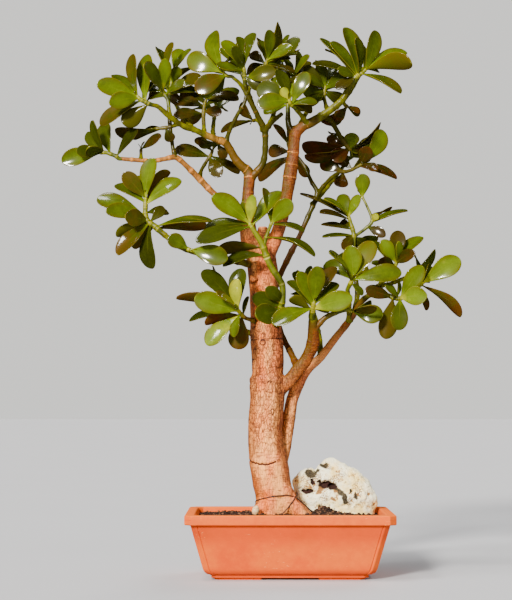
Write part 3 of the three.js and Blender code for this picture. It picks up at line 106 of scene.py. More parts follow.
# For each bough: its stations in the elevation, as x, depth, height and radius.
BOUGHS: dict[str, list[list[float]]] = {
    "stump": [[-33, 0, 402, 9], [-33, -3, 425, 8], [-33, -4, 437, 5.6]],
    "knob": [[-44, -8, 370, 5.6], [-45, -19, 370.5, 5.2], [-45.5, -23, 371, 4]],
    "left": [[-46, 2, 405, 12], [-51, 4, 428, 11], [-52, 6, 450, 9.6], [-51.5, 8, 480, 7.4], [-50, 8, 498, 7.4],
        [-51.5, 8, 507, 6.6], [-58.8, 6, 513, 6], [-68, 4, 523.5, 5.4], [-74.4, 2, 535, 5.1], [-81, 0, 544, 5.2],
        [-95, -4, 549, 4.2], [-105.5, -8, 553.5, 4.3], [-119.7, -12, 560, 3.5], [-130, -16, 563, 3.8],
        [-139, -20, 568, 3.3], [-151, -24, 577, 3.5], [-165.5, -27, 589.4, 2.9], [-174, -29, 592, 2.7]],
    "right": [[-30, 0, 392, 9], [-14, -4, 430, 8.6], [-8, -6, 450, 8.2], [-3, -8, 475, 7.4], [1.4, -10, 501, 8.6],
        [4.7, -11, 522, 7.8], [6.6, -12, 540, 7.6], [8.6, -12, 555, 8.2], [19, -13, 565, 6.6], [29, -14, 569.5, 6.2],
        [49.4, -15, 582.7, 5], [67, -15, 597, 4.6], [75, -15, 611, 4.1], [80, -15, 619.5, 3.8]],
    "centre": [[-49, 8, 498, 5], [-39.4, 6, 507.8, 4.4], [-32.9, 4, 517, 4], [-30.3, 2, 528.7, 3.7],
        [-29.7, 0, 541.7, 3.5], [-30.3, -2, 557.4, 3.9], [-35.5, -6, 570.5, 3.2], [-46, -12, 591, 3],
        [-53, -14, 606, 3], [-55, -18, 617, 2.7]],
    "crown_right": [[-52.5, -14, 607, 2.7], [-44, -10, 626, 2.4], [-35, -5, 634, 2.3]],
    "crown_left": [[-52.5, -14, 605, 2.6], [-62, -18, 619, 2.3], [-70, -22, 626, 2.2]],
    "centre_right": [[-30.3, -2, 557.4, 3.2], [-25, -9, 565, 2.8], [-16, -20, 574.4, 2.7], [-9, -30, 580, 2.6]],
    "young_centre": [[24, -14, 567, 3.4], [16, -30, 578, 2.8], [9, -41, 586.5, 2.6]],
    "mid_right": [[8.6, -12, 553, 4.6], [1.5, -4, 561, 4.2], [-1, 4, 572, 3.4], [-1, 8, 581, 3]],
    "left_riser": [[-79.6, 0, 544, 3], [-75.7, -4, 557, 2.5], [-70.5, -8, 567.8, 2.4], [-64, -12, 581, 2.3],
        [-57, -14, 592, 2.3], [-53, -14, 606, 2.4]],
    "lower_left": [[-50, 4, 436, 5.4], [-74, 14, 462, 4.4], [-95, 20, 479, 3.9], [-113, 18, 497.4, 4],
        [-134, 10, 518.3, 3.4], [-143.7, 6, 525, 3.6], [-158, 2, 522.5, 2.9], [-173.4, -1, 520.4, 2.7],
        [-197.5, -3, 521.8, 2.6], [-212, -4, 523, 2.5]],
    "lower_left_up": [[-143.5, 6, 524, 2.8], [-147, 9, 539, 2.5], [-151, 11, 572, 2.4], [-152, 12, 588, 2.3]],
    "lower_left_dark": [[-113, 18, 497.4, 2.8], [-110.7, 24, 508, 2.3], [-105, 28, 518, 2.2]],
    "outer_left": [[-44, -4, 388, 4.8], [-62, -20, 392, 4], [-80, -30, 396, 3.8], [-110, -40, 402, 3.6],
        [-137.5, -46, 411.5, 3.4], [-152, -50, 422.4, 3.4], [-161.5, -50, 430.5, 3.5]],
    "outer_left_low": [[-137.5, -46, 411.5, 2.6], [-131, -53, 409.5, 2.3]],
    "front_stem": [[-18, -10, 314, 4.8], [-13, -25, 325, 4.2]],
    "front_left": [[-41, -8, 317, 3.2], [-47, -22, 319, 2.7], [-52.5, -34, 320.6, 2.5]],
    "lower_right": [[-24, 2, 218, 9], [2.6, -2, 245.4, 8.5], [10.8, -6, 256.4, 8.3], [20.4, -10, 267.4, 8],
        [25.9, -14, 278.3, 8.1], [30, -18, 289.2, 8.8], [30.7, -24, 301.6, 7.3], [30, -30, 312.5, 6],
        [29.3, -37, 322, 4.7]],
    "second_stem": [[-24, 8, 118, 9.5], [-8, 13, 150, 8.4], [0.5, 19, 200, 7.7], [4, 21, 220, 7.4], [13, 24, 240, 7],
        [22, 27, 256, 6.4], [39.6, 30, 272, 5.5], [56, 24, 293.3, 5], [72.5, 8, 313.8, 4.4], [82, -2, 327, 4],
        [92, -12, 343, 3.6], [105, -20, 351.5, 3.3], [121, -26, 350.5, 3]],
    "right_riser": [[76, 4, 318, 3.6], [75.5, -16, 340, 3], [74, -30, 355, 2.8]],
    "far_right_up": [[104, -20, 351, 3], [112, -6, 361, 2.8], [122, 8, 371, 2.7]],
    "right_high": [[82, -2, 328, 3.4], [86, 16, 350, 3.1], [84, 27, 375, 3], [81, 30, 402, 3]],
    "side_right": [[31, -27, 307, 4.4], [46, -31, 322, 3.4], [60, -31, 328.5, 3]],
    "back_riser": [[11, -6, 258, 4.8], [2.6, 10, 277, 4], [-8.4, 24, 299, 3.5], [-17, 30, 330, 3.4],
        [-16, 31, 362, 3.3], [0.3, 30, 399.4, 3.9], [10, 30, 418, 3.3], [25, 34, 451.4, 3.2], [35.8, 40, 479, 3.1],
        [28.5, 45, 494, 2.6], [21, 50, 511, 2.4]],
    "back_right": [[35.8, 40, 478, 2.8], [44.3, 44, 489, 2.6], [54, 50, 499, 2.5], [62, 56, 505, 2.4]],
    "hanging": [[40, -14, 577, 4], [51.5, 8, 573, 3.3], [58.9, 28, 562.4, 3], [66.2, 45, 549, 2.8]],
    "left_top": [[-107, -8, 554, 3], [-107.5, 4, 565, 2.6]],
    "left_far_up": [[-151, -24, 577, 2.8], [-152, -21, 589, 2.4]],
    "left_under": [[-139, -20, 568, 2.8], [-147, -8, 564.5, 2.3]],
    "near_fork": [[-81, 0, 544, 2.8], [-86, 10, 543, 2.3]],
    "centre_under": [[-35.5, -6, 570, 2.8], [-41, 6, 572, 2.2]],
    "far_left_single": [[-187, -2, 521, 2.4], [-187, 1, 529, 2]],
    "right_mid": [[49.4, -15, 582.7, 3.2], [47, 0, 591, 2.6], [45, 8, 599, 2.4]],
    "right_low": [[67, -15, 597, 3], [71, -4, 592, 2.3]],
    "rear_a": [[-120, -12, 560, 3], [-134, 24, 576, 2.7], [-146, 54, 598, 2.4]],
    "rear_b": [[-95, -4, 549, 3.2], [-96, 34, 560, 2.7], [-94, 62, 578, 2.4]],
    "rear_c": [[-32, -2, 560, 3.4], [-44, 26, 588, 2.8], [-56, 48, 622, 2.4]],
    "rear_d": [[-26, -8, 564, 2.8], [-16, 30, 590, 2.6], [-12, 54, 632, 2.3]],
    "rear_e": [[8, -12, 548, 4.4], [14, 30, 566, 3], [28, 58, 592, 2.5]],
    "rear_f": [[60, -15, 590, 3.4], [76, 18, 606, 2.7], [88, 44, 626, 2.4]],
    "rear_g": [[-46, 6, 400, 4.6], [-52, 44, 412, 3.2], [-52, 76, 432, 2.6]],
    "rear_h": [[-34, 8, 296, 4.6], [-56, 52, 306, 3.2], [-80, 82, 322, 2.6]],
    "rear_i": [[40, 30, 272, 4], [38, 58, 300, 3], [30, 76, 334, 2.5]],
    "rear_j": [[84, 27, 374, 3], [98, 52, 382, 2.6], [92, 74, 392, 2.3]],
    "rear_k": [[112, -6, 361, 2.8], [132, 30, 366, 2.5], [150, 54, 374, 2.3]],
    "rear_l": [[30, 37, 465, 3], [48, 66, 486, 2.6], [68, 92, 512, 2.3]],
}
# For each shoot: its stems, then a digit for each leaf for its tone, from 0, blackish green, to 9, yellow green,
# which paints both its age and the shade and light that fall on it, and one for how red brown, then its leaves as
# root, tip, breadth seen and depth of the tip. Last come the shaded leaves that fill out the crown behind the
# others: the same, then their tone, painted dark as painted shade, and how red, in tenths.
SHOOTS: dict[str, tuple[list, str, str, list, list]] = {
    "left": ([[[-179, -30, 594, 2.6], [-188.5, -31, 599, 2.4], [-193, -31, 604, 1.8]]], "66455414", "00400400",
        [[-190, 601, -243, 619, 24, -12], [-190, 600, -227.6, 593.6, 22, -16], [-193, 604, -198.5, 656.5, 14, 4],
        [-193, 604, -222, 630, 15, 20], [-182, 596, -180, 656, 22, 12], [-186, 598, -239, 566, 20, 10],
        [-178, 593.5, -210, 567, -24, -6], [-186, 599, -172, 622, 10, 18]], []),
    "left_far_up": ([[[-153.6, -19, 599, 2.4], [-160, -14, 610, 2.4], [-157, -11, 626, 2], [-154.7, -9, 638, 1.7]]],
        "5374443", "0004000", [[-160, 610, -184, 643, 19, -16], [-160, 611, -186, 632, -10, -22],
        [-160, 612, -157, 651, 17, -14], [-154.7, 637, -148, 672, 10, 0], [-154.7, 637, -166, 664, 12, 14],
        [-156, 604, -131, 622, 13, -14], [-159, 608, -183, 612, 12, 8]], [[-158, 610, -178, 600, 14, 18, 1, 3]]),
    "lower_left_up": ([[[-151, 13, 605, 2.2], [-148, 15, 624, 2], [-145, 15, 638, 1.7]]], "655433", "000400",
        [[-145, 638, -136.8, 663, 18, -12], [-145, 638, -124, 663.4, 9, 6], [-148.4, 618, -139, 640, 15, -10],
        [-149, 610, -111, 629, 18, 6], [-149, 616, -170, 634, 16, 22], [-149, 606, -118, 612, 14, 14]],
        [[-148, 620, -122, 640, 14, 18, 2, 2]]),
    "left_under": ([[[-156, -5, 562.5, 2.2], [-170, -4, 561, 1.8]]], "111", "333", [[-170, 561, -220, 558, 12, 6],
        [-158, 562, -192, 549, 13, 22], [-157, 562, -148, 545, 14, 26]], []),
    "lower_left": ([[[-219, -5, 526.5, 2.4], [-232, -5, 531, 2.3], [-240, -5, 530, 2]]], "5443341", "",
        [[-240, 529, -287.5, 520.4, 23, -6], [-240, 530, -269, 534, 17, -22], [-239, 531, -253.5, 537.5, 10, -26],
        [-238, 531, -256, 556, 15, 10], [-234, 532, -248.5, 572, 11, -4], [-226, 529, -235, 568, 19, 6],
        [-218, 526, -191, 560, 15, 14]], []),
    "far_left_single": ([[[-187, 3, 536, 1.9]]], "12", "43", [[-187, 535, -161.5, 553, 13, -10],
        [-187, 535, -206, 549, 10, 26]], []),
    "outer_left": ([[[-170.8, -50, 438.5, 3.2], [-177.5, -50, 443, 3.1], [-180.8, -50, 451, 2.8], [-181, -50, 464, 2.6],
        [-180.8, -50, 475, 2]]], "64436235543411520", "04000500040740056", [[-180.6, 474, -171, 524, 21, -6],
        [-181, 472, -209, 505.6, 20, 0], [-181, 467, -219, 490, 16, 14], [-181, 474, -193, 500, -10, 20],
        [-181, 464, -136, 496, 21, 2], [-181, 462, -150, 506, -6, 18], [-180, 454, -152, 455, 13, 22],
        [-180, 451, -242, 473, 22, 8], [-180, 450, -231, 456.5, 20, -12], [-178, 445, -207, 450, 22, -26],
        [-176, 442, -218, 425, -13, 6], [-176, 440, -216, 401, 21, -12], [-174, 440, -196, 409, -15, 10],
        [-174, 440, -172, 383.5, 19, -6], [-167, 438, -97, 444, 12, -8], [-170, 437, -197, 432, -16, 24],
        [-166, 435, -104, 436, -17, 12]], [[-178, 444, -196, 424, 16, 18, 1, 3], [-176, 441, -158, 462, 14, 18, 2, 2]]),
    "outer_left_low": ([[[-124, -58, 407, 2.1]]], "54", "", [[-125, 407, -77, 396, 25, -10],
        [-126, 408, -152, 424, 19, -10]], []),
    "front_stem": ([[[-8, -34, 346, 4], [-8.5, -36, 363, 4.1], [-13, -38, 371.5, 4.2], [-19.5, -40, 381, 4.2],
        [-27, -42, 396, 4.1], [-34, -45, 415, 3.8], [-43.5, -49, 431, 3.1], [-51, -50, 443, 2.3]],
        [[-32, -44, 410, 2.4], [-27, -47, 428, 2.2], [-21, -50, 444, 1.8]]], "685335564423341", "000000000000003",
        [[-51, 442, -97, 476, 25, -10], [-50, 443, -44.7, 477, 15, -14], [-51, 443, -58, 471, 9, 8],
        [-50, 440, -106, 434.5, 15, 8], [-48, 436, -117, 417.5, 21, -4], [-47, 436, -10.7, 482, 21, 12],
        [-21, 444, -31, 486, 14, 14], [-21, 443, 3, 470, 23, -8], [-21, 442, 19.7, 431, 8, -6],
        [-28, 424, 33, 399.5, 8, -12], [-29, 402, -83.5, 387, 15, 4], [-9, 338, -46, 348, 21, -12],
        [-9, 340, -29, 360, 17, -20], [-10, 333, -42, 324, 27, -24], [-33, 412, -90, 405, -13, 18]], []),
    "front_left": ([[[-57, -44, 323, 2.5], [-61, -56, 327, 2.3], [-65, -66, 333, 1.8]]], "926522851142", "000570006800",
        [[-64, 332, -65.5, 371, 16, -10], [-63, 332, -61, 384, 21, 10], [-63, 331, -119, 347, 27, -8],
        [-64, 331, -91.5, 353, 8, -20], [-63, 330, -142, 346.5, -13, 12], [-62, 331, -108, 382, 21, 8],
        [-61, 324, -104, 288, 22, -6], [-61, 326, -69.5, 297.4, 11, -16], [-59, 325, -65, 282, -26, 4],
        [-59, 325, -106, 314, -11, 4], [-57, 324, -51, 349, 6, -4], [-60, 327, -96, 386, 6, 22]], []),
    "lower_right": ([[[30, -46, 333, 3], [32, -52, 343, 2]]], "564357423", "000000040", [[31, 332, -21, 314, 20, -10],
        [30, 336, 12, 380, 19, -8], [30, 334, -2, 368, 15, 8], [29, 331, 1.5, 347, -13, -18], [32, 340, 36, 387, 22, 4],
        [31, 334, 80, 348, 26, -16], [32, 338, 62, 365, 16, 4], [32, 340, 58, 386, 19, 14], [31, 333, 52, 333, 12, 10]],
        []),
    "right_riser": ([[[77, -36, 364, 2.8], [80.5, -40, 371, 2]]], "7654313", "0500040", [[80, 371, 78, 413, 24, -8],
        [80, 370, 106, 418, 24, -2], [79, 369, 142, 379, 23, -6], [79, 369, 45, 390, 20, 10],
        [79, 368, 51, 404, 8, -16], [78, 367, 10, 389, 9, 6], [78, 366, 92, 350, 9, -14]], []),
    "side_right": ([[[72.3, -30, 332, 2.8], [81, -30, 330, 2]]], "543", "040", [[80, 331, 118.4, 325, 24, -10],
        [78, 333, 108, 337, 10, -18], [78, 331, 104, 342, 10, 10]], []),
    "second_stem": ([[[131, -29, 347.5, 2.8], [140, -30, 346, 2.6], [155, -24, 355, 2.3], [170, -14, 366, 1.8]]],
        "67504167411", "00040300078", [[141, 347, 168.5, 387, 23, -10], [142, 346, 174, 350, 24, -24],
        [138, 347, 121, 363, 10, -16], [131, 348, 96, 358, 17, 12], [139, 345, 138, 306, 22, -10],
        [131, 346, 121, 295, -24, 6], [136, 347, 138, 371, 6, 8], [169, 365, 216, 396, 27, -4],
        [169, 366, 178, 389, 10, 12], [166, 363, 216.4, 323, -9, 6], [164, 361, 173, 331, 9, -12]], []),
    "far_right_up": ([[[130, 15, 381, 2.6], [137, 20, 393, 2]]], "771513413", "003040040",
        [[136, 391, 117, 420, 18, -14], [137, 393, 138, 418, 9, -10], [135, 389, 138, 432, 21, 8],
        [137, 392, 168, 424, 15, 2], [136, 390, 159, 404, 16, -14], [131, 383, 104, 391, 9, -6],
        [132, 385, 105, 419, 15, 18], [133, 387, 113, 394, 15, -16], [137, 391, 156, 416, 14, 14]], []),
    "right_high": ([[[82, 30, 426, 2.8], [78.3, 30, 440.4, 2.4], [74.6, 30, 452, 1.8]], [[82, 30, 424, 2.2],
        [96.5, 32, 434.3, 2], [105, 32, 444, 2], [99, 37, 462, 1.7], [91, 41, 478, 1.5]]], "576113951151121",
        "000330004304340", [[75, 451, 66.2, 478, 18, 8], [75, 450, 90, 477, 13, -8], [76, 449, 44.3, 472, 8, -6],
        [77, 446, 39, 455, 8, -16], [80, 434, 40.7, 440, 9, 10], [82, 427, 42, 424, 7, -8],
        [104, 444, 112, 453, 10, -8], [103, 441, 150, 457.5, 9, 0], [104, 443, 127, 458, 6, 16],
        [98, 436, 122, 425, 14, -10], [91, 477, 93.5, 504, 20, -6], [84, 425, 68, 408, 15, -8],
        [80, 437, 64, 441, 14, 16], [76, 448, 14, 479, 9, 14], [83, 424, 96, 412, 14, 12]], []),
    "back_riser": ([[[13, 54, 523, 2.2], [2, 56, 532, 1.9], [-2, 57, 545, 1.6]]], "11000", "55555",
        [[8, 527, -38, 495, 16, 4], [2, 532, -26, 532.6, 18, 10], [-2, 545, -19, 567, 10, 4], [9, 526, 24, 500, 15, 12],
        [-2, 545, 12, 566, 14, 16]], []),
    "back_right": ([[[74, 60, 507, 2.3], [86, 62, 512.4, 2.1], [95, 63, 518, 1.7]]], "0006000", "6750565",
        [[68, 506, 40, 519, 20, 6], [88, 513, 136.7, 498, 15, 4], [68, 506, 65, 487, 19, -8],
        [94, 517, 120, 559, 22, 6], [90, 515, 101, 538, 19, -12], [80, 510, 62, 527, 18, 16],
        [94, 517, 112, 508, 13, -8]], [[80, 510, 108, 540, 14, 12, 1, 3]]),
    "hanging": ([[[72, 54, 541, 2.6], [79, 60, 533, 1.9]]], "0052000", "7604775", [[72, 541, 16.4, 539, 19, 8],
        [76, 537, 20, 527, 10, -6], [78, 534, 82, 556, 20, -8], [77, 535, 116, 568, 7, 6], [78, 534, 54, 522, 20, 12],
        [78, 533, 104, 526, 18, 10], [74, 539, 48, 550, 14, -8]], [[76, 537, 52, 556, 12, 10, 1, 2]]),
    "lower_left_dark": ([[[-99, 31, 527, 2.1], [-96, 33, 535, 1.6]]], "22111", "33344", [[-100, 526, -144, 535, 18, -4],
        [-100, 525, -87, 500, 19, -10], [-98, 527, -62, 505, 13, 8], [-97, 533, -118, 549, 14, 14],
        [-97, 534, -84, 551, 11, 14]], []),
    "near_fork": ([[[-91, 15, 542, 2]]], "11", "44", [[-90, 542, -115, 543, 12, 18], [-90, 542, -80, 523, 13, 14]], []),
    "left_top": ([[[-108, 15, 577, 2.5], [-107, 19, 590, 2.2], [-104, 21, 602, 1.7]]], "1111244", "3435700",
        [[-108, 581, -146, 576, 16, -8], [-107, 589, -150, 601, 20, 4], [-105, 598, -63, 599, 15, -6],
        [-107, 583, -85, 582, 15, -14], [-107, 580, -136, 567, -15, 16], [-104, 601, -118, 622, 15, 6],
        [-104, 601, -88, 621, 14, 8]], [[-107, 590, -80, 603, 14, 16, 1, 2], [-107, 592, -136, 606, 15, 18, 1, 2]]),
    "centre_under": ([[[-46, 14, 571, 1.9]]], "10", "44", [[-45, 571, -86, 557, 12, 4], [-45, 571, -62, 592, 12, 22]],
        []),
    "centre": ([[[-56, -21, 629, 2.4], [-57, -24, 641, 1.8]]], "6342454", "0000030", [[-57, 640, -85, 673, 17, -8],
        [-57, 641, -43.8, 684, 16, -6], [-57, 641, -51, 671, 10, 12], [-57, 640, -71, 666, 14, 14],
        [-57, 640, -64, 679, 14, 4], [-56, 624, -16.3, 635, 21, -12], [-56, 634, -92, 642, 12, -14]],
        [[-56, 639, -71, 666, 11, 24, 0, 3], [-56, 628, -34, 611, 15, 24, 1, 1], [-57, 638, -57, 674, 12, 20, 2, 3]]),
    "crown_left": ([[[-78, -26, 628.5, 2.1], [-84, -27, 634, 1.7]]], "64512", "26000", [[-82, 632, -128.4, 653, 27, -6],
        [-80, 630, -118, 609, 25, -8], [-82, 634, -96, 685, 21, 8], [-82, 633, -70, 652, 12, 22],
        [-79, 630, -92, 608, 13, 14]], [[-80, 630, -108, 612, 14, 14, 1, 5], [-80, 630, -104, 655, 15, 22, 2, 2]]),
    "crown_right": ([[[-29, -1, 643.6, 2.2], [-26, 1, 651, 1.7]]], "55254213", "05000330",
        [[-26, 651, -24.8, 688, 15, -8], [-26, 651, -13, 695.4, 13, 6], [-27, 650, -37, 674, 13, 10],
        [-26, 648, 5, 667, 16, -8], [-27, 646, 12, 657, 9, 10], [-29, 644, 8, 633, 8, -6], [-29, 644, -48, 658, 14, 14],
        [-28, 645, -6, 640, 12, 14]], [[-29, 643, -53, 633, 15, 12, 0, 3], [-28, 645, -39, 677, 10, 18, 1, 2],
        [-28, 645, 2, 652, 12, 20, 1, 1]]),
    "young_centre": ([[[2, -48, 593, 2.2], [0, -51, 600, 1.6]]], "953574", "", [[0, 600, -9, 613, 12, -6],
        [1, 596, -40, 593, 22, -10], [1, 598, -40, 614, 27, 4], [3, 592, 24, 633, 20, -4], [0, 600, 6, 619, 13, 6],
        [3, 591, 36, 594, 12, -10]], [[0, 599, -14, 636, 17, 30, 1, 0], [1, 597, 20, 632, 15, 34, 1, 2],
        [1, 595, -26, 590, 14, 26, 1, 1], [1, 595, 30, 584, 14, 22, 1, 2]]),
    "mid_right": ([[[-1, 12, 592, 2.6], [2, 15, 612, 2.2], [6, 18, 628, 1.8]]], "5544544", "",
        [[0, 602, -22, 625, 18, 8], [-1, 594, -32, 581, 14, 8], [6, 627, 13, 660, 11, -8], [0, 596, 24, 588, 15, 14],
        [6, 627, 26, 655, 9, 6], [6, 626, -5, 652, 10, 12], [4, 619, 36, 631, 15, 12]],
        [[3, 615, -19, 640, 14, 14, 1, 2], [4, 620, 27, 647, 14, 12, 2, 2], [2, 612, -20, 611, 14, 18, 0, 2]]),
    "right_mid": ([[[45, 11, 608, 2.2], [47, 12, 617, 1.7]]], "44323445", "", [[46, 612, 73, 632, 17, -12],
        [45, 609, 18, 607, 17, -10], [45, 605, 22, 589, 16, -14], [46, 606, 66, 596, 15, -16],
        [47, 616, 60, 643, 14, 8], [46, 613, 18, 626, 15, 10], [47, 616, 38, 646, 15, 4], [47, 615, 75, 617, 15, 12]],
        [[46, 612, 20, 640, 18, 8, 2, 1], [46, 609, 20, 589, 17, 12, 1, 1], [46, 609, 70, 596, 15, 14, 1, 1],
        [47, 615, 36, 648, 13, 16, 1, 2], [47, 612, 14, 612, 15, 18, 1, 2]]),
    "right_low": ([[[75, 3, 589, 2]]], "0100", "6666", [[75, 589, 82, 604, 18, 22], [75, 589, 89, 581, 7, -8],
        [74, 590, 44, 568, 15, 6], [74, 589, 60, 573, 15, 14]], [[73, 589, 90, 579, 12, 10, 0, 2]]),
    "right": ([[[85, -15, 627, 3.2], [92, -15, 632, 2.6], [99, -15, 638, 1.9]]], "554556553", "000000430",
        [[87, 628, 71, 691, 20, -4], [86, 628, 53, 672, 15, -10], [88, 629, 85, 678, 11, 10], [85, 627, 40, 677, 11, 6],
        [98, 637, 110.5, 687, 19, -6], [98, 637, 150, 659, 17, 2], [98, 636, 156, 646, -21, -10],
        [93, 632, 143, 607, 13, -4], [85, 627, 62, 638, 13, -14]], [[86, 629, 30, 645, 12, 20, 2, 1],
        [88, 631, 84, 679, 15, 16, 3, 2], [86, 628, 60, 612, 14, 18, 1, 2], [87, 630, 47, 662, 12, 24, 2, 1]]),
}
# For each level of the trunk: height, left edge, right edge and half depth.
TRUNK_LEVELS: list[list[float]] = [
    [77, -42.5, 32, 20], [82, -42, 25, 20], [90, -40.6, 17.5, 20], [100, -42, 9.3, 20], [110, -44.7, 3.8, 21],
    [122, -47.4, 1, 22], [140, -50.6, -1.6, 22.5], [160, -51, -5.7, 22], [182, -51.5, -9, 21], [205, -50.6, -7, 21.5],
    [222, -49.5, -5, 21], [240, -49.9, -5, 21.5], [251, -46, -7.5, 19.5], [262, -46.7, -6.3, 19.5],
    [290, -48.4, -7, 20], [310, -48.8, -9, 19.5], [350, -49.5, -14, 18], [380, -52, -13, 18], [400, -54, -17, 17],
    [418, -58.5, -22, 15],
]
# The same for the stone.
STONE_LEVELS: list[list[float]] = [
    [66, 5, 108, 26], [79, 4, 107, 26], [88, 3.5, 111, 26], [97, 4, 110.3, 28], [105, 4.6, 107, 26],
    [117, 2.5, 101.5, 23], [124, 7, 94.5, 20], [131, 15, 86, 16], [136, 29, 77, 12], [141, 39, 65.5, 9],
    [144.5, 45, 59.5, 5],
]
# For each shoot at the back: its pairs of leaves, its first pair's turn and its seed.
REAR_SHOOTS: list[list] = [
    ["rear_a", 3, 0.4, 11], ["rear_b", 3, 1.1, 23], ["rear_c", 3, 0.2, 37], ["rear_d", 3, 0.9, 41],
    ["rear_e", 3, 0.5, 59], ["rear_f", 3, 1.3, 67], ["rear_g", 3, 0.1, 73], ["rear_h", 2, 0.8, 89],
    ["rear_i", 3, 0.3, 97], ["rear_j", 2, 1.0, 103], ["rear_k", 2, 0.6, 113], ["rear_l", 3, 1.4, 131],
]
# For each strand: turn about the trunk in degrees, height, and lift off the bark.
WIRE_ROUTES: dict[str, list[list[float]]] = {
    "training_wire": [[150, 77.3, 0], [158, 82, 0], [172, 89, 0], [190, 92.5, 0], [215, 95, 0], [240, 97.4, 0],
        [265, 99.6, 0], [290, 100.3, 0], [310, 99.6, 0], [328, 96, 0], [340, 90, 0], [346, 85.5, 0], [349, 81.5, 0],
        [351, 77.3, 0]],
    "training_wire_end": [[356, 103, 0.6], [338, 101, 2.4], [318, 97.5, 2.5], [304, 92.5, 0.8], [292, 88.5, 0.2],
        [275, 81.5, 0], [264, 77.4, 0]],
}


def seen_at(x: float, y: float, z: float) -> Array:
    """Give the point at depth y that covers (x, z) of the plane of the trunk, seen from the front.

    Args:
        x: Place to the right in the plane of the trunk.
        y: Depth of the wanted point.
        z: Height in the plane of the trunk.

    Returns:
        The point.
    """
    reach = (y - STATION[1]) / -STATION[1]
    return np.array((STATION[0] + (x - STATION[0]) * reach, y, STATION[2] + (z - STATION[2]) * reach))


def unit(vector: Array) -> Array:
    """Give the vector at length one."""
    return vector / max(float(np.linalg.norm(vector)), 1e-9)


def smooth_step(value: Array | float, low: float, high: float) -> Array | float:
    """Rise smoothly from 0 at low to 1 at high."""
    share = np.clip((value - low) / (high - low), 0, 1)
    return share * share * (3 - 2 * share)


def bell(away: Array, width: float) -> Array:
    """Fall smoothly from 1 at nothing to almost 0 at two widths away."""
    return np.exp(-((away / width) ** 2))


def turns_of(sides: int) -> Array:
    """Give the angles of points spread evenly round a ring."""
    return 2 * np.pi * np.arange(sides) / sides


def rough(points: Array, period: float, octaves: int = 3, shift: float = 0.0) -> Array:
    """Give fractal noise of about -1 to 1 at each point.

    Args:
        points: Points in mm.
        period: Size of the largest lumps, in mm.
        octaves: How many finer layers there are.
        shift: Offset that gives another pattern.

    Returns:
        One value for each point.
    """
    places = points / period + shift
    return np.array([noise.fractal(Vector(place), 0.9, 2.1, octaves) for place in places])


def through(stations: Array, step: float) -> Array:
    """Run a smooth curve through stations, with a point about every step.

    Args:
        stations: Rows whose first three values are a place. The rest, such as a radius, is carried along.
        step: Distance between the points given back, in mm.

    Returns:
        Rows of the same width as the stations.
    """
    if len(stations) == 2:
        count = max(2, math.ceil(np.linalg.norm(stations[1, :3] - stations[0, :3]) / step) + 1)
        share = np.linspace(0, 1, count)[:, None]
        return stations[0] * (1 - share) + stations[1] * share
    ends = np.vstack((2 * stations[0] - stations[1], stations, 2 * stations[-1] - stations[-2]))
    rows = []
    for i in range(1, len(ends) - 2):
        before, start, end, after = ends[i - 1 : i + 3]
        count = max(1, math.ceil(np.linalg.norm(end[:3] - start[:3]) / step))
        share = (np.arange(count) / count)[:, None]
        # Tangents are limited to the length of the stretch, so that close stations give no loops.
        stretch = np.linalg.norm(end[:3] - start[:3])
        lead = (end - before) * min(0.5, 0.9 * stretch / max(np.linalg.norm((end - before)[:3]), 1e-6))
        follow = (after - start) * min(0.5, 0.9 * stretch / max(np.linalg.norm((after - start)[:3]), 1e-6))
        square, cube = share**2, share**3
        rows.append(
            (2 * cube - 3 * square + 1) * start
            + (cube - 2 * square + share) * lead
            + (3 * square - 2 * cube) * end
            + (cube - square) * follow
        )
    rows.append(stations[-1:])
    return np.vstack(rows)


def run_along(points: Array) -> Array:
    """Give the distance run along a line of points, at each point."""
    return np.concatenate(([0], np.cumsum(np.linalg.norm(np.diff(points, axis=0), axis=1))))


def rings_round(points: Array, radii: Array, sides: int) -> Array:
    """Set a ring of points round each point of a line, without twist.

    Args:
        points: The line.
        radii: One radius for each point.
        sides: Points in a ring.

    Returns:
        An array of rings by sides by three.
    """
    ways = np.gradient(points, axis=0)
    side = np.array((0.0, 1.0, 0.0)) if abs(unit(ways[0])[0]) > 0.8 else np.array((1.0, 0.0, 0.0))
    turns = turns_of(sides)
    rings = np.empty((len(points), sides, 3))
    for i, way in enumerate(ways):
        way = unit(way)
        side = unit(side - way * side.dot(way))
        over = np.cross(way, side)
        rings[i] = points[i] + radii[i] * (np.outer(np.cos(turns), side) + np.outer(np.sin(turns), over))
    return rings


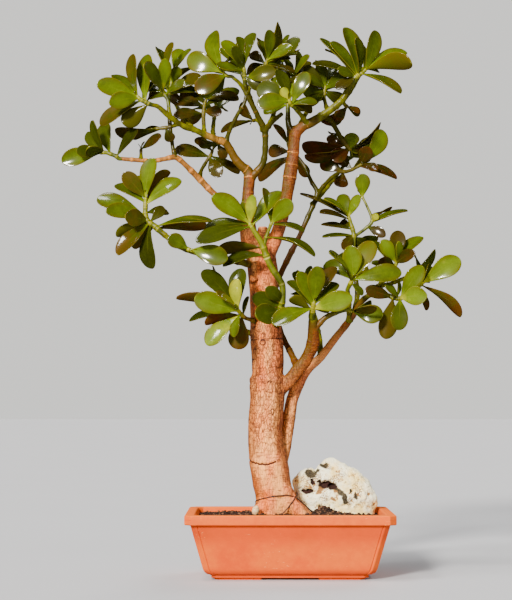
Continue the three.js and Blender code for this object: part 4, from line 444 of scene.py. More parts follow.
class Skin:
    """The surface of one piece while it is being made, with the values that its finish reads."""

    def __init__(self) -> None:
        """Start with nothing."""
        self.points: list[Array] = []
        self.faces: Faces = []
        self.finishes: list[int] = []
        self.values: list[dict[str, Array]] = []
        self.count = 0

    def add(self, points: Array, faces: Faces, finish: int = 0, **values: Array) -> None:
        """Add points and faces.

        Args:
            points: Rows of three, in mm.
            faces: Corners of each face, as numbers of rows of points.
            finish: Number of the finish that the faces take.
            **values: One value for each point, by name.
        """
        faces = [tuple(corner + self.count for corner in face) for face in faces]
        self.points.append(points)
        self.faces += faces
        self.finishes += [finish] * len(faces)
        self.values.append({"_count": np.zeros(len(points)), **values})
        self.count += len(points)

    def add_rings(self, rings: Array, finish: int = 0, **values: Array) -> None:
        """Add a skin over rings of points, with a face over each end.

        Args:
            rings: An array of rings by sides by three.
            finish: Number of the finish.
            **values: An array of rings by sides for each name.
        """
        count, sides = rings.shape[:2]
        faces = []
        for i in range(count - 1):
            low, high = i * sides, (i + 1) * sides
            faces += [(low + j, low + (j + 1) % sides, high + (j + 1) % sides, high + j) for j in range(sides)]
        faces += [tuple(range(sides))[::-1], tuple((count - 1) * sides + j for j in range(sides))]
        flat = {name: np.broadcast_to(value, (count, sides)).reshape(-1) for name, value in values.items()}
        self.add(rings.reshape(-1, 3), faces, finish, **flat)

    def mesh(self, name: str) -> Mesh:
        """Make the mesh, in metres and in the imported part's place.

        Args:
            name: The mesh's name.

        Returns:
            The mesh, with each value as a float attribute.
        """
        made = bpy.data.meshes.new(name)
        made.from_pydata(in_row(np.vstack(self.points)).tolist(), [], self.faces)
        made.polygons.foreach_set("material_index", self.finishes)
        names = sorted({key for part in self.values for key in part} - {"_count"})
        for key in names:
            whole = np.concatenate([part.get(key, part["_count"]) for part in self.values])
            paint(made, key, whole)
        made.update()
        return made


def paint(mesh: Mesh, name: str, values: Array) -> None:
    """Keep one value for each point of a mesh, under a name."""
    layer = mesh.attributes.new(name, "FLOAT", "POINT")
    layer.data.foreach_set("value", values.astype(np.float32))


def pot_middle() -> Array:
    """Give the place of the middle of the pot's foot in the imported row, in metres."""
    low, high = (np.array(corner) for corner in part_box("pot"))
    return np.array((*((low + high) / 2)[:2], 0.0))


POT_MIDDLE = pot_middle()


def in_row(points: Array) -> Array:
    """Turn points in mm from the pot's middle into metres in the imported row."""
    return points * MM + POT_MIDDLE


def in_mm(points: Array) -> Array:
    """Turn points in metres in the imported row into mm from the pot's middle."""
    return (points - POT_MIDDLE) / MM


def stand(name: str, data: bpy.types.ID) -> Piece:
    """Put a mesh, lamp or camera in the scene under a name."""
    made = bpy.data.objects.new(name, data)
    bpy.context.collection.objects.link(made)
    return made


def set_out(
    name: str, skin: Skin, finishes: list[Material], slot: Slot, *stands_for: str, sharp: float = 0
) -> Piece:
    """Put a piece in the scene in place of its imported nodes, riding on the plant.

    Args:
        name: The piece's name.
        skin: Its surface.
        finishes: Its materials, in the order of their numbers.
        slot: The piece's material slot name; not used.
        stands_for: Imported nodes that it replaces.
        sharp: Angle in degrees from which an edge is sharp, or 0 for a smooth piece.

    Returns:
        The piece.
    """
    mesh = skin.mesh(stands_for[0])
    for finish in finishes:
        mesh.materials.append(finish)
    mesh.polygons.foreach_set("use_smooth", [True] * len(mesh.polygons))
    if sharp:
        mesh.set_sharp_from_angle(angle=math.radians(sharp))
    piece = stand(name, mesh)
    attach(piece, BODY)
    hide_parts(*stands_for)
    LOG.info("%s: %d faces", name, len(mesh.polygons))
    return piece


def operator(operation: str, reflected: bool = False) -> Callable[["Value", "Value | float"], "Value"]:
    """Make a method of Value that adds one Math node.

    Args:
        operation: The node's operation.
        reflected: Whether the other value comes first.

    Returns:
        The method.
    """

    def method(self: "Value", other: "Value | float") -> "Value":
        """Work out one step."""
        pair = (other, self) if reflected else (self, other)
        return self.bench.node("ShaderNodeMath", {"operation": operation}, dict(enumerate(pair)))

    return method


@dataclass(frozen=True)
class Value:
    """A socket of a finish, for use in Python expressions."""

    bench: "Bench"
    socket: bpy.types.NodeSocket

    __add__, __radd__ = operator("ADD"), operator("ADD", True)
    __sub__, __rsub__ = operator("SUBTRACT"), operator("SUBTRACT", True)
    __mul__, __rmul__ = operator("MULTIPLY"), operator("MULTIPLY", True)

    def rise(self, low: float, high: float) -> "Value":
        """Turn the value into a mask that rises smoothly from 0 at low to 1 at high."""
        sockets = {"Value": self, "From Min": low, "From Max": high}
        return self.bench.node("ShaderNodeMapRange", {"interpolation_type": "SMOOTHSTEP"}, sockets)


def ink(red: int, green: int, blue: int) -> tuple[float, float, float, float]:
    """Turn a screen colour of 0 to 255 into the linear colour that a shader takes."""
    linear = [c / 12.92 if c <= 0.04045 else ((c + 0.055) / 1.055) ** 2.4 for c in (red / 255, green / 255, blue / 255)]
    return (*linear, 1.0)


class Bench:
    """A node tree while it is put together."""

    def __init__(self, tree: bpy.types.NodeTree) -> None:
        """Start with an empty tree."""
        self.tree = tree
        tree.nodes.clear()

    def node(self, kind: str, settings: Named = None, sockets: Named = None, take: int | str = 0) -> Value:
        """Add a node of any kind.

        Args:
            kind: The node's type.
            settings: Its settings, set first; "stops" gives a ramp's places and colours.
            sockets: A value or a link for each socket.
            take: The output that is wanted.

        Returns:
            That output.
        """
        made = self.tree.nodes.new(kind)
        for name, setting in (settings or {}).items():
            if name != "stops":
                setattr(made, name, setting)
                continue
            ramp = made.color_ramp
            while len(ramp.elements) < len(setting):
                ramp.elements.new(0.5)
            for element, stop in zip(ramp.elements, setting):
                element.position, element.color = stop
        for name, value in (sockets or {}).items():
            self.join(made.inputs[name], value)
        return Value(self, made.outputs[take])

    def join(self, socket: bpy.types.NodeSocket, value: object) -> None:
        """Link a value to a socket, or set a plain number or colour on it."""
        if isinstance(value, Value):
            self.tree.links.new(value.socket, socket)
        else:
            socket.default_value = value

    def tint(self, mask: Value | float, under: object, over: object) -> Value:
        """Lay one colour over another where a mask is 1."""
        return self.node("ShaderNodeMix", {"data_type": "RGBA"}, {0: mask, 6: under, 7: over}, 2)


class FinishBench(Bench):
    """The node tree of one finish while it is put together."""

    def __init__(self, name: str) -> None:
        """Start a material with a Principled shader.

        Args:
            name: The material's name.
        """
        self.colour: object = None
        self.material = bpy.data.materials.new(name)
        self.material.use_nodes = True
        super().__init__(self.material.node_tree)
        self.shader = self.tree.nodes.new("ShaderNodeBsdfPrincipled")
        output = self.tree.nodes.new("ShaderNodeOutputMaterial")
        self.tree.links.new(self.shader.outputs[0], output.inputs[0])
        place = self.node("ShaderNodeTexCoord", take="Object")
        self.place = self.node("ShaderNodeVectorMath", {"operation": "SCALE"}, {"Vector": place, "Scale": 1 / MM})

    def painted(self, name: str) -> Value:
        """Read a value that is kept on the mesh."""
        return self.node("ShaderNodeAttribute", {"attribute_name": name}, take="Fac")

    def stretched(self, x: float, y: float, z: float) -> Value:
        """Give the place in mm with each axis multiplied."""
        return self.node("ShaderNodeVectorMath", {"operation": "MULTIPLY"}, {0: self.place, 1: (x, y, z)})

    def shifted(self, place: Value, push: Value, reach: float) -> Value:
        """Move a place by a pattern, by about reach mm."""
        sockets = {0: push, 1: (reach, reach, reach), 2: place}
        return self.node("ShaderNodeVectorMath", {"operation": "MULTIPLY_ADD"}, sockets)

    def grain(self, period: float, detail: float = 3.0, ragged: float = 0.55, place: Value | None = None) -> Value:
        """Give noise of 0 to 1 with lumps of a period in mm, some finer layers and how strong they are."""
        sockets = {"Vector": place or self.place, "Scale": 1 / period, "Detail": detail, "Roughness": ragged}
        return self.node("ShaderNodeTexNoise", sockets=sockets)

    def cells(self, period: float, feature: str = "F1", place: Value | None = None) -> Value:
        """Give the distance pattern of cells of a period in mm."""
        sockets = {"Vector": place or self.place, "Scale": 1 / period}
        return self.node("ShaderNodeTexVoronoi", {"feature": feature}, sockets, "Distance")

    def ramp(self, value: Value, stops: list[tuple[float, tuple]]) -> Value:
        """Turn a value into a colour by a ramp."""
        return self.node("ShaderNodeValToRGB", {"stops": stops}, {"Fac": value})

    def coat(self, mask: Value, over: object) -> None:
        """Lay one more colour over the finish where a mask is 1."""
        self.colour = self.tint(mask, self.colour, over)

    def finish(self, gloss: Value | float, relief: Value, depth: float, strength: float, **fixed: float) -> Material:
        """Feed the shader.

        Args:
            gloss: Roughness.
            relief: Height for the bump.
            depth: Height of the bump in mm.
            strength: How strongly it shows.
            **fixed: Other sockets of the shader, by name with _ for a space, the same all over.

        Returns:
            The finished material.
        """
        bump = self.node("ShaderNodeBump", None, {"Strength": strength, "Distance": depth * MM, "Height": relief})
        for name, value in {"Base Color": self.colour, "Roughness": gloss, "Normal": bump}.items():
            self.join(self.shader.inputs[name], value)
        for name, number in fixed.items():
            self.shader.inputs[name.replace("_", " ").title().replace("Ior", "IOR")].default_value = number
        return self.material


# ---- Finishes ----


@dataclass(frozen=True)
class Terracotta:
    """Matte moulded terracotta with a pale bloom and light scuffs."""

    body: tuple = ink(196, 66, 0)
    deep: tuple = ink(160, 48, 0)
    bloom: tuple = ink(226, 106, 14)
    scuff: tuple = ink(246, 168, 96)

    def make(self) -> Material:
        """Build the material."""
        bench = FinishBench("terracotta")
        clouds = bench.grain(60, 4, 0.6)
        mottle = bench.grain(9, 4, 0.6)
        grit = bench.grain(0.9, 3, 0.6)
        bench.colour = bench.tint(clouds.rise(0.4, 0.75) * 0.45, self.body, self.deep)
        bench.coat(mottle.rise(0.45, 0.8) * 0.12, self.bloom)
        height = bench.painted("height")
        low = height.rise(0.08, 0.24) * (1 - height.rise(0.4, 0.72))
        bench.coat(low * (clouds + mottle * 0.35).rise(0.45, 0.8) * 0.5, self.bloom)
        scratches = bench.grain(1.6, 2, 0.5, place=bench.stretched(0.35, 1, 1))
        patch = bench.grain(34, 2).rise(0.52, 0.62)
        scuffs = scratches.rise(0.66, 0.74) * patch
        bench.coat(scuffs * 0.5, self.scuff)
        # Painted highlight on the rim's top and band, in the bloom colour.
        edge = bench.painted("edge")
        bench.coat((edge + mottle * 0.4).rise(0.35, 1.0) * 0.8, self.bloom)
        bench.coat(bench.painted("hollow") * 0.5, self.deep)
        gloss = 0.62 + mottle * 0.16 - scuffs * 0.1
        relief = grit * 0.5 + mottle * 0.7 + scratches * 0.2
        return bench.finish(gloss, relief, 0.35, 0.5, ior=1.25)


@dataclass(frozen=True)
class Loam:
    """Dark crumbly potting soil, with crumbs from black brown to dry tan."""

    wet: tuple = ink(34, 20, 13)
    middle: tuple = ink(66, 40, 26)
    dry: tuple = ink(118, 82, 56)
    moss: tuple = ink(74, 84, 34)

    def make(self) -> Material:
        """Build the material."""
        bench = FinishBench("soil")
        crumbs = bench.cells(2.6)
        patches = bench.grain(14, 4, 0.6)
        tone = bench.painted("tone")
        bench.colour = bench.tint(patches.rise(0.35, 0.7), self.wet, self.middle)
        bench.coat((tone + patches * 0.3).rise(0.75, 1.15) * 0.85, self.dry)
        green = bench.painted("moss") * bench.grain(3, 3).rise(0.35, 0.55)
        bench.coat(green, self.moss)
        relief = crumbs * 0.6 + bench.grain(0.8, 3, 0.65)
        return bench.finish(0.9, relief, 0.8, 0.8, specular_ior_level=0.25)


@dataclass(frozen=True)
class Limestone:
    """Cream limestone, weathered to holes, with grey lichen and rusty pits."""

    cream: tuple = ink(255, 222, 138)
    white: tuple = ink(255, 247, 210)
    buff: tuple = ink(226, 176, 84)
    grey: tuple = ink(36, 30, 18)
    ash: tuple = ink(84, 70, 46)
    # The painted shade inside the hollows.
    dark: tuple = ink(44, 18, 8)
    rust: tuple = ink(116, 64, 20)

    def make(self) -> Material:
        """Build the material."""
        bench = FinishBench("limestone")
        broad = bench.grain(22, 4, 0.6)
        blotch = bench.grain(6, 5, 0.65)
        fine = bench.grain(1.4, 4, 0.65)
        pits = bench.cells(5.5, place=bench.shifted(bench.place, blotch, 4))
        bench.colour = bench.tint(broad.rise(0.42, 0.66), self.white, self.cream)
        bench.coat(blotch.rise(0.55, 0.72) * 0.5, self.buff)
        crevice = bench.painted("crevice")
        bench.coat((crevice + fine * 0.8).rise(0.7, 1.15) * 0.8, self.buff)
        bench.coat((crevice + fine * 1.2 + blotch * 0.5).rise(1.35, 1.7) * 0.85, self.rust)
        bench.coat((fine + blotch * 0.7).rise(1.0, 1.2) * 0.55, self.rust)
        small = (1 - pits.rise(0.08, 0.26)) * broad.rise(0.42, 0.56)
        bench.coat(small * 0.6, self.rust)
        ragged = fine * 1.5 + blotch * 1.1 - 1.35
        stained = (bench.painted("stain") * 0.5 + fine * 2.4 + blotch * 0.6).rise(1.82, 2.1)
        bench.coat(stained * 0.85, bench.tint(blotch.rise(0.5, 0.75), self.rust, self.buff))
        lichen = (bench.painted("lichen") + ragged * 0.8).rise(0.25, 0.75)
        bench.coat(lichen, bench.tint(fine.rise(0.4, 0.62), self.grey, self.ash))
        # Painted shade: the hollows are painted near-black brown.
        sunk = (bench.painted("hollow") + ragged * 0.4).rise(0.22, 0.6)
        bench.coat(sunk, self.dark)
        relief = fine * 0.6 + blotch * 1.2 + pits.rise(0.05, 0.3) * 0.8
        return bench.finish(0.82 + fine * 0.1, relief, 1.1, 0.9, specular_ior_level=0.35)


@dataclass(frozen=True)
class Pebble:
    """A pale pebble with faint veins."""

    pale: tuple = ink(222, 190, 142)
    warm: tuple = ink(190, 142, 92)

    def make(self) -> Material:
        """Build the material."""
        bench = FinishBench("pebble")
        veins = bench.grain(3.5, 4, 0.6, place=bench.stretched(1, 1, 2.5))
        fine = bench.grain(0.7, 3)
        bench.colour = bench.tint(veins.rise(0.4, 0.65), self.pale, self.warm)
        return bench.finish(0.6 + fine * 0.15, veins + fine * 0.4, 0.25, 0.6)


@dataclass(frozen=True)
class Bark:
    """Jade bark: pinkish tan with dark upright fissures, turning through orange and olive to green twigs."""

    tan: tuple = ink(242, 116, 30)
    pale: tuple = ink(255, 168, 88)
    pink: tuple = ink(255, 146, 104)
    fissure: tuple = ink(84, 34, 8)
    russet: tuple = ink(106, 54, 8)
    rind_and_side_shade: tuple = ink(146, 74, 11)
    olive: tuple = ink(84, 60, 6)
    green: tuple = ink(98, 97, 7)
    deep_green: tuple = ink(56, 52, 4)
    papery: tuple = ink(212, 136, 62)
    scar: tuple = ink(64, 24, 8)

    def make(self) -> Material:
        """Build the material."""
        bench = FinishBench("bark")
        broad = bench.grain(26, 3, 0.55, place=bench.stretched(1, 1, 0.45))
        blotch = bench.grain(8, 4, 0.6, place=bench.stretched(1, 1, 0.5))
        bent = bench.shifted(bench.stretched(1, 1, 0.42), bench.grain(9, 2), 5)
        flakes = bench.cells(3.4, "DISTANCE_TO_EDGE", place=bent)
        streak = bench.grain(1.7, 4, 0.7, place=bench.shifted(bench.stretched(1, 1, 0.24), blotch, 2))
        lines = bench.grain(1.9, 3, 0.65, place=bench.stretched(0.2, 0.2, 1.0))
        fine = bench.grain(0.7, 3, 0.6)
        age = bench.painted("age")
        bench.colour = bench.tint(broad.rise(0.36, 0.66), self.pale, self.tan)
        # Partly painted highlight: blush pinkens the right-facing bark; the wound, ridge and collar really are pink.
        bench.coat(bench.painted("blush") * (broad + blotch * 0.5).rise(0.55, 0.95) * 0.75, self.pink)
        # Painted shade: the bark deepens to the rind colour towards the left and right sides, where side is high.
        side = bench.painted("side")
        bench.coat((side + blotch * 0.6).rise(0.5, 1.1) * 0.68, self.rind_and_side_shade)
        worn = bench.painted("worn")
        cracked = (streak + blotch * 0.35).rise(0.6, 0.78)
        # Painted shade: the fissures are also laid thicker towards the sides.
        bench.coat(cracked * age * (0.15 + worn * 0.45 + side * 0.3), self.fissure)
        seams = (1 - flakes.rise(0.02, 0.12)) * (broad + fine * 0.3 + worn * 0.2).rise(0.5, 0.8)
        bench.coat(seams * age * (0.25 + worn * 0.5), self.fissure)
        bench.coat((lines + blotch * 0.2).rise(0.62, 0.75) * (0.22 + age * 0.4), self.fissure)
        young = bench.tint((blotch + fine * 0.4).rise(0.5, 0.85), self.rind_and_side_shade, self.russet)
        young = bench.tint(streak.rise(0.5, 0.7) * 0.6, young, self.fissure)
        shaded = (side * 0.6 + 0.4) * (1 - bench.painted("blush") * 2)
        young = bench.tint((broad * 0.7 + blotch * 0.4 + shaded * 0.7).rise(0.5, 0.82) * 0.9, young, self.olive)
        young = bench.tint((lines + fine * 0.4).rise(0.68, 0.79) * 0.8, young, self.fissure)
        bench.coat(bench.painted("young"), young)
        # Painted shade: the green bark of a shaded bough is darkened towards deep green.
        green = bench.tint((blotch - bench.painted("dull") * 0.4).rise(0.32, 0.66), self.deep_green, self.green)
        green = bench.tint(streak.rise(0.62, 0.8) * 0.35, green, self.olive)
        turn = bench.painted("green")
        olive = (turn + blotch * 0.3 - 0.15).rise(0.08, 0.5)
        bench.coat(olive, self.olive)
        bench.coat((turn + blotch * 0.25 - 0.12).rise(0.45, 0.9), green)
        ring = (bench.painted("ring") + fine * 0.8 + blotch * 0.7 - 0.75).rise(0.5, 1.0)
        bench.coat(ring * (0.75 - turn * 0.3), self.papery)
        bench.coat((bench.painted("scar") + fine * 0.3 - 0.15).rise(0.3, 0.8), self.scar)
        bench.coat(bench.painted("cut") * 0.8, self.pink)
        gloss = 0.58 - turn * 0.16 + fine * 0.12 - bench.painted("young") * 0.18
        relief = streak * age * -1.1 + flakes.rise(0.0, 0.12) * age * 0.5
        relief = relief + (lines * -0.6 + fine * 0.3) * (1 - turn * 0.7)
        return bench.finish(gloss, relief, 0.7, 0.8, ior=1.3)


@dataclass(frozen=True)
class GreenStem:
    """The smooth green stem of a leafy shoot, with pale papery nodes."""

    green: tuple = ink(86, 92, 2)
    deep: tuple = ink(46, 52, 2)
    young: tuple = ink(116, 118, 2)
    papery: tuple = ink(170, 156, 22)
    dry: tuple = ink(226, 206, 110)
    # Painted shade: the brownish olive laid on stems of shoots whose leaves are painted dark.
    dull: tuple = ink(74, 54, 8)

    def make(self) -> Material:
        """Build the material."""
        bench = FinishBench("green_stem")
        blotch = bench.grain(7, 3, place=bench.stretched(1, 1, 0.6))
        fine = bench.grain(0.7, 3)
        bench.colour = bench.tint(blotch.rise(0.35, 0.65), self.deep, self.green)
        bench.coat(bench.painted("fresh") * 0.75, self.young)
        bench.coat((bench.painted("ring") + fine * 0.3).rise(0.5, 1.1) * 0.45, self.papery)
        bench.coat(bench.painted("dull") * (0.4 + blotch * 0.6), self.dull)
        bench.coat(bench.painted("scar"), self.dry)
        return bench.finish(0.36 + fine * 0.1, blotch * 0.5 + fine * 0.3, 0.3, 0.6, ior=1.4)


@dataclass(frozen=True)
class LeafSkin:
    """Glossy fleshy leaf skin, from dark old green to yellow young green, with a thin red-brown margin.

    Its darkest greens also paint the shade on leaves deep in the crown.
    """

    old: tuple = ink(34, 37, 2)
    grown: tuple = ink(54, 63, 5)
    fresh: tuple = ink(88, 105, 10)
    young: tuple = ink(154, 152, 28)
    below: tuple = ink(80, 74, 5)
    rim: tuple = ink(170, 170, 56)
    red: tuple = ink(74, 46, 5)
    dark_red: tuple = ink(74, 28, 6)

    def make(self) -> Material:
        """Build the material."""
        bench = FinishBench("leaf_skin")
        cloud = bench.grain(16, 3, 0.5)
        blotch = bench.grain(4.5, 3, 0.55)
        pores = bench.cells(1.35)
        fine = bench.grain(0.5, 2)
        # The painted tone carries the leaf's age and also painted shade and light, dark for leaves deep in the crown.
        tone = bench.painted("tone") + cloud * 0.34 - 0.17 + blotch * 0.16 - 0.08
        along = bench.painted("along")
        stops = [(0.04, self.old), (0.42, self.grown), (0.75, self.fresh), (1.0, self.young)]
        top = bench.ramp(tone + (1 - along.rise(0.0, 0.36)) * 0.32 - along.rise(0.55, 1.0) * 0.05, stops)
        across = bench.painted("across")
        rib = (1 - across.rise(0.0, 0.1)) * (1 - along.rise(0.2, 0.8))
        top = bench.tint(rib * 0.1, top, self.rim)
        dots = (1 - pores.rise(0.1, 0.3)) * 0.08
        top = bench.tint(dots, top, self.rim)
        under = bench.tint(0.5, bench.ramp(tone + 0.02, stops), self.below)
        upper = bench.painted("upper")
        bench.colour = bench.tint(upper, under, top)
        red = bench.painted("red") * (cloud + blotch * 0.6 + along * 0.25).rise(0.68, 1.12)
        rust = bench.tint(tone.rise(0.1, 0.6), self.dark_red, self.red)
        bench.coat(red, rust)
        margin = bench.painted("margin")
        line = (margin + fine * 0.3).rise(0.72, 1.05) * tone.rise(0.1, 0.6)
        bench.coat(line * 0.25, self.rim)
        blush = bench.painted("blush") * (margin + blotch * 0.5).rise(0.75, 1.2)
        bench.coat(blush * 0.4, rust)
        shade = (across + along * 0.35 + blotch * 0.3).rise(0.75, 1.45) * tone.rise(0.2, 0.6)
        bench.coat(shade * 0.4, rust)
        gloss = 0.35 + blotch * 0.12 + dots * 0.4
        relief = fine * 0.25 + blotch * 0.9 + pores.rise(0.0, 0.35) * 0.25
        bench.join(bench.shader.inputs["Coat Weight"], upper * 0.6 + 0.4)
        fixed = {"specular_ior_level": 0.03, "coat_ior": 1.36, "coat_roughness": 0.13}
        return bench.finish(gloss, relief, 0.28, 0.3, **fixed)


@dataclass(frozen=True)
class RustyWire:
    """Thin annealed wire, dark brown with dull rust."""

    dark: tuple = ink(38, 22, 16)
    rust: tuple = ink(78, 40, 24)

    def make(self) -> Material:
        """Build the material."""
        bench = FinishBench("training_wire")
        spots = bench.grain(2.2, 4, 0.6)
        bench.colour = bench.tint(spots.rise(0.42, 0.62), self.dark, self.rust)
        return bench.finish(0.5 + spots * 0.3, spots, 0.15, 0.8, metallic=0.2)


@dataclass(frozen=True)
class PaleFloor:
    """The plain pale floor."""

    pale: tuple = ink(183, 183, 186)
    paler: tuple = ink(188, 188, 191)

    def make(self) -> Material:
        """Build the material."""
        bench = FinishBench("pale_floor")
        cloud = bench.grain(260, 3)
        fine = bench.grain(3, 3)
        bench.colour = bench.tint(cloud, self.pale, self.paler)
        return bench.finish(0.8, fine, 0.1, 0.3)


# ---- The pot and what stands in it ----


@dataclass
class Pot:
    """The rectangular footed pot: a loft from the middle of its underside, over the rim, to its floor."""

    finish: Material
    length: float = 256
    depth: float = 180
    height: float = 80
    rim_height: float = 12
    rim_width: float = 12
    under_rim: float = 7
    taper: float = 17
    floor_top: float = 12
    plate_top: float = 6.5
    foot_height: float = 2.5
    foot_inner: float = 35
    foot_outer: float = 92
    foot_side_inner: float = 20
    foot_bar: float = 12
    foot_corner: float = 6
    plate_inset: float = 8
    chamfer: float = 8.5
    body_chamfer: float = 6
    inner_chamfer: float = 5.5
    groove_depth: float = 1.2
    groove_width: float = 2.6
    drain_radius: float = 9
    drain_offset: float = 48
    corner_radius: float = 1.0
    soil_line: float = 66

    def wall_half(self, z: float) -> float:
        """Give the body's half length at a height."""
        top = self.height - self.rim_height
        return self.length / 2 - self.under_rim - self.taper * (top - z) / (top - self.plate_top)

    def cavity_half(self, z: float) -> float:
        """Give the cavity's half length at a height."""
        share = min(1.0, (self.height - z) / (self.height - self.floor_top))
        return self.length / 2 - self.rim_width - self.taper * share

    def ring(self, half: float, z: float, cut: float, groove: float) -> Array:
        """Lay out one level of the pot: a rectangle with cut corners, a groove beside each cut, and soft corners.

        Args:
            half: Half the length of the level.
            z: Its height.
            cut: How much each corner is cut.
            groove: Depth of the groove beside the cut.

        Returns:
            The level's points, the same number at every level.
        """
        half_y, soft = half - (self.length - self.depth) / 2, self.corner_radius
        side = [(half, half_y * share) for share in (0.0, 0.3, 0.6, 0.82)]
        for k in range(5):
            y = half_y - cut - self.groove_width - 1.2 + self.groove_width * k / 4
            side.append((half - groove * math.sin(math.pi * k / 4) ** 2, y))
        pull = 0.29 * soft
        corner = [(half, half_y - cut - soft), (half - pull * 0.55, half_y - cut + 0.2)]
        edge = side + corner + [(half - soft * 0.7, half_y - cut + soft * 0.7)]
        far = [(half - (half_y - y), half_y - (half - x)) for x, y in edge]
        quarter = edge + [(half - cut / 2, half_y - cut / 2)] + far[::-1]
        points = quarter[:-1]
        points += [(-x, y) for x, y in quarter[::-1][:-1]]
        points += [(-x, -y) for x, y in quarter[:-1]]
        points += [(x, -y) for x, y in quarter[::-1][:-1]]
        return np.array([(x, y, z) for x, y in points])

    def outer_levels(self) -> list[tuple[float, float, float, float]]:
        """List the outside as half length, height, corner cut and groove, from the underside to the rim's top."""
        plate = self.wall_half(self.plate_top) - self.plate_inset
        cut, deep = self.body_chamfer, self.groove_depth
        foot, half, rim_foot = self.foot_height, self.length / 2, self.height - self.rim_height
        levels = [(plate - 0.9, foot, cut, 0), (plate - 0.25, foot + 0.25, cut, 0), (plate, foot + 0.9, cut, 0)]
        levels += [(plate, self.plate_top - 1.6, cut, 0), (plate + 0.4, self.plate_top - 0.7, cut, 0)]
        for k in range(7):
            turn = math.pi / 2 * k / 6
            z = self.plate_top + 7.5 * (1 - math.cos(turn))
            inset = (self.plate_inset - 1.5) * (1 - math.sin(turn))
            levels.append((self.wall_half(z) - inset, z, cut, deep * min(1.0, k / 3)))
        for z in (20, 28, 36, 44, 52, 60, 66):
            levels.append((self.wall_half(z), z, cut, deep))
        levels.append((self.wall_half(rim_foot - 0.5), rim_foot - 0.5, cut, deep))
        levels.append((self.wall_half(rim_foot) + 0.5, rim_foot, cut + 0.2, deep * 0.6))
        levels += [(half - 1.6, rim_foot + 0.05, self.chamfer - 0.6, 0), (half - 0.6, rim_foot + 0.35, self.chamfer, 0)]
        levels += [(half - 0.1, rim_foot + 1.0, self.chamfer, 0), (half, rim_foot + 1.8, self.chamfer, 0)]
        # The band of the rim has a faint groove halfway up its cut corners.
        levels += [(half, self.height - 6.6, self.chamfer, 0), (half, self.height - 6.0, self.chamfer + 0.7, 0)]
        levels += [(half, self.height - 5.4, self.chamfer, 0), (half, self.height - 2.2, self.chamfer, 0)]
        levels += [(half - 0.15, self.height - 1.2, self.chamfer, 0), (half - 0.7, self.height - 0.4, self.chamfer, 0)]
        levels.append((half - 1.7, self.height, self.chamfer - 0.3, 0))
        return levels

    def inner_levels(self) -> list[tuple[float, float, float, float]]:
        """List the inside in the same way, from the rim's top to the floor."""
        lip = self.length / 2 - self.rim_width
        cut = self.inner_chamfer
        levels = [(lip + 1.5, self.height, cut + 0.6, 0), (lip + 0.5, self.height - 0.4, cut, 0)]
        levels += [(self.cavity_half(z), z, cut, 0) for z in (self.height - 1.4, 70, 50, 30, 16, 13.4)]
        levels += [(self.cavity_half(12) - 0.6, 12.4, cut, 0), (self.cavity_half(12) - 1.6, self.floor_top, cut, 0)]
        return levels

    def foot(self, sign_x: int, sign_y: int) -> tuple[Array, Faces]:
        """Lay out one angle foot with soft edges.

        Args:
            sign_x: 1 for a foot on the right.
            sign_y: 1 for a foot at the back.

        Returns:
            Its points and faces.
        """
        outer_y = self.foot_outer - (self.length - self.depth) / 2
        bar, cut = self.foot_bar, self.foot_corner
        inner, outer, side = self.foot_inner, self.foot_outer, self.foot_side_inner
        outline = [(inner, outer_y), (inner, outer_y - bar), (outer - bar, outer_y - bar), (outer - bar, side)]
        corners = np.array(outline + [(outer, side), (outer, outer_y - cut), (outer - cut, outer_y)])
        middle = np.array((outer - bar / 2, outer_y - bar / 2))
        if sign_x * sign_y < 0:
            corners = corners[::-1]
        levels = []
        for z, inset in ((0.0, 0.6), (0.6, 0.0), (self.plate_top - 1, 0.0)):
            flat = (corners + unit_rows(middle - corners) * inset) * (sign_x, sign_y)
            levels.append(np.column_stack((flat, np.full(len(flat), z))))
        count = len(corners)
        faces = [tuple(range(count)), tuple(2 * count + j for j in range(count))[::-1]]
        for i in (0, 1):
            for j in range(count):
                low, high, after = i * count, (i + 1) * count, (j + 1) % count
                faces.append((low + j, high + j, high + after, low + after))
        return np.vstack(levels), faces

    def build(self) -> None:
        """Build and dress the pot."""
        outer = len(self.outer_levels())
        levels = self.outer_levels() + self.inner_levels()
        z = np.array([level[1] for level in levels])[:, None]
        inside = np.arange(len(levels))[:, None] >= outer
        # Painted highlight: the rim's top takes the lighter bloom colour, and its outer band a little of it.
        band = np.where(z > self.height - 1, 1.0, 0.45 * (z > self.height - self.rim_height + 0.5))
        skin = Skin()
        rings = np.array([self.ring(*level) for level in levels])
        skin.add_rings(rings, height=z / self.height * ~inside, edge=band, hollow=(z < self.soil_line) * inside * 1.0)
        for sign_x, sign_y in ((1, 1), (-1, 1), (-1, -1), (1, -1)):
            skin.add(*self.foot(sign_x, sign_y))
        piece = set_out("terracotta_pot", skin, [self.finish], Slot.TERRACOTTA, "pot", sharp=32)
        self.bore_drains(piece)
        # Broad faces rule the shading of the soft edges beside them.
        piece.modifiers.new("soft_edges", "WEIGHTED_NORMAL").keep_sharp = True

    def bore_drains(self, piece: Piece) -> None:
        """Cut the two drain holes through the floor."""
        for side in (-1, 1):
            skin = Skin()
            line = np.array(((side * self.drain_offset, 0, -2), (side * self.drain_offset, 0, 14.5)))
            skin.add_rings(rings_round(line, np.array((self.drain_radius, self.drain_radius)), 40))
            cutter = stand("drain", skin.mesh("drain"))
            cut = piece.modifiers.new("drain", "BOOLEAN")
            cut.operation, cut.solver, cut.object = "DIFFERENCE", "EXACT", cutter
            settle(piece)
            bpy.data.objects.remove(cutter)


def unit_rows(rows: Array) -> Array:
    """Give each row at length one."""
    return rows / np.maximum(np.linalg.norm(rows, axis=1, keepdims=True), 1e-9)


def settle(piece: Piece) -> None:
    """Replace a piece's mesh by what its modifiers make of it."""
    bpy.context.view_layer.update()
    graph = bpy.context.evaluated_depsgraph_get()
    made = bpy.data.meshes.new_from_object(piece.evaluated_get(graph), preserve_all_data_layers=True, depsgraph=graph)
    piece.modifiers.clear()
    piece.data = made


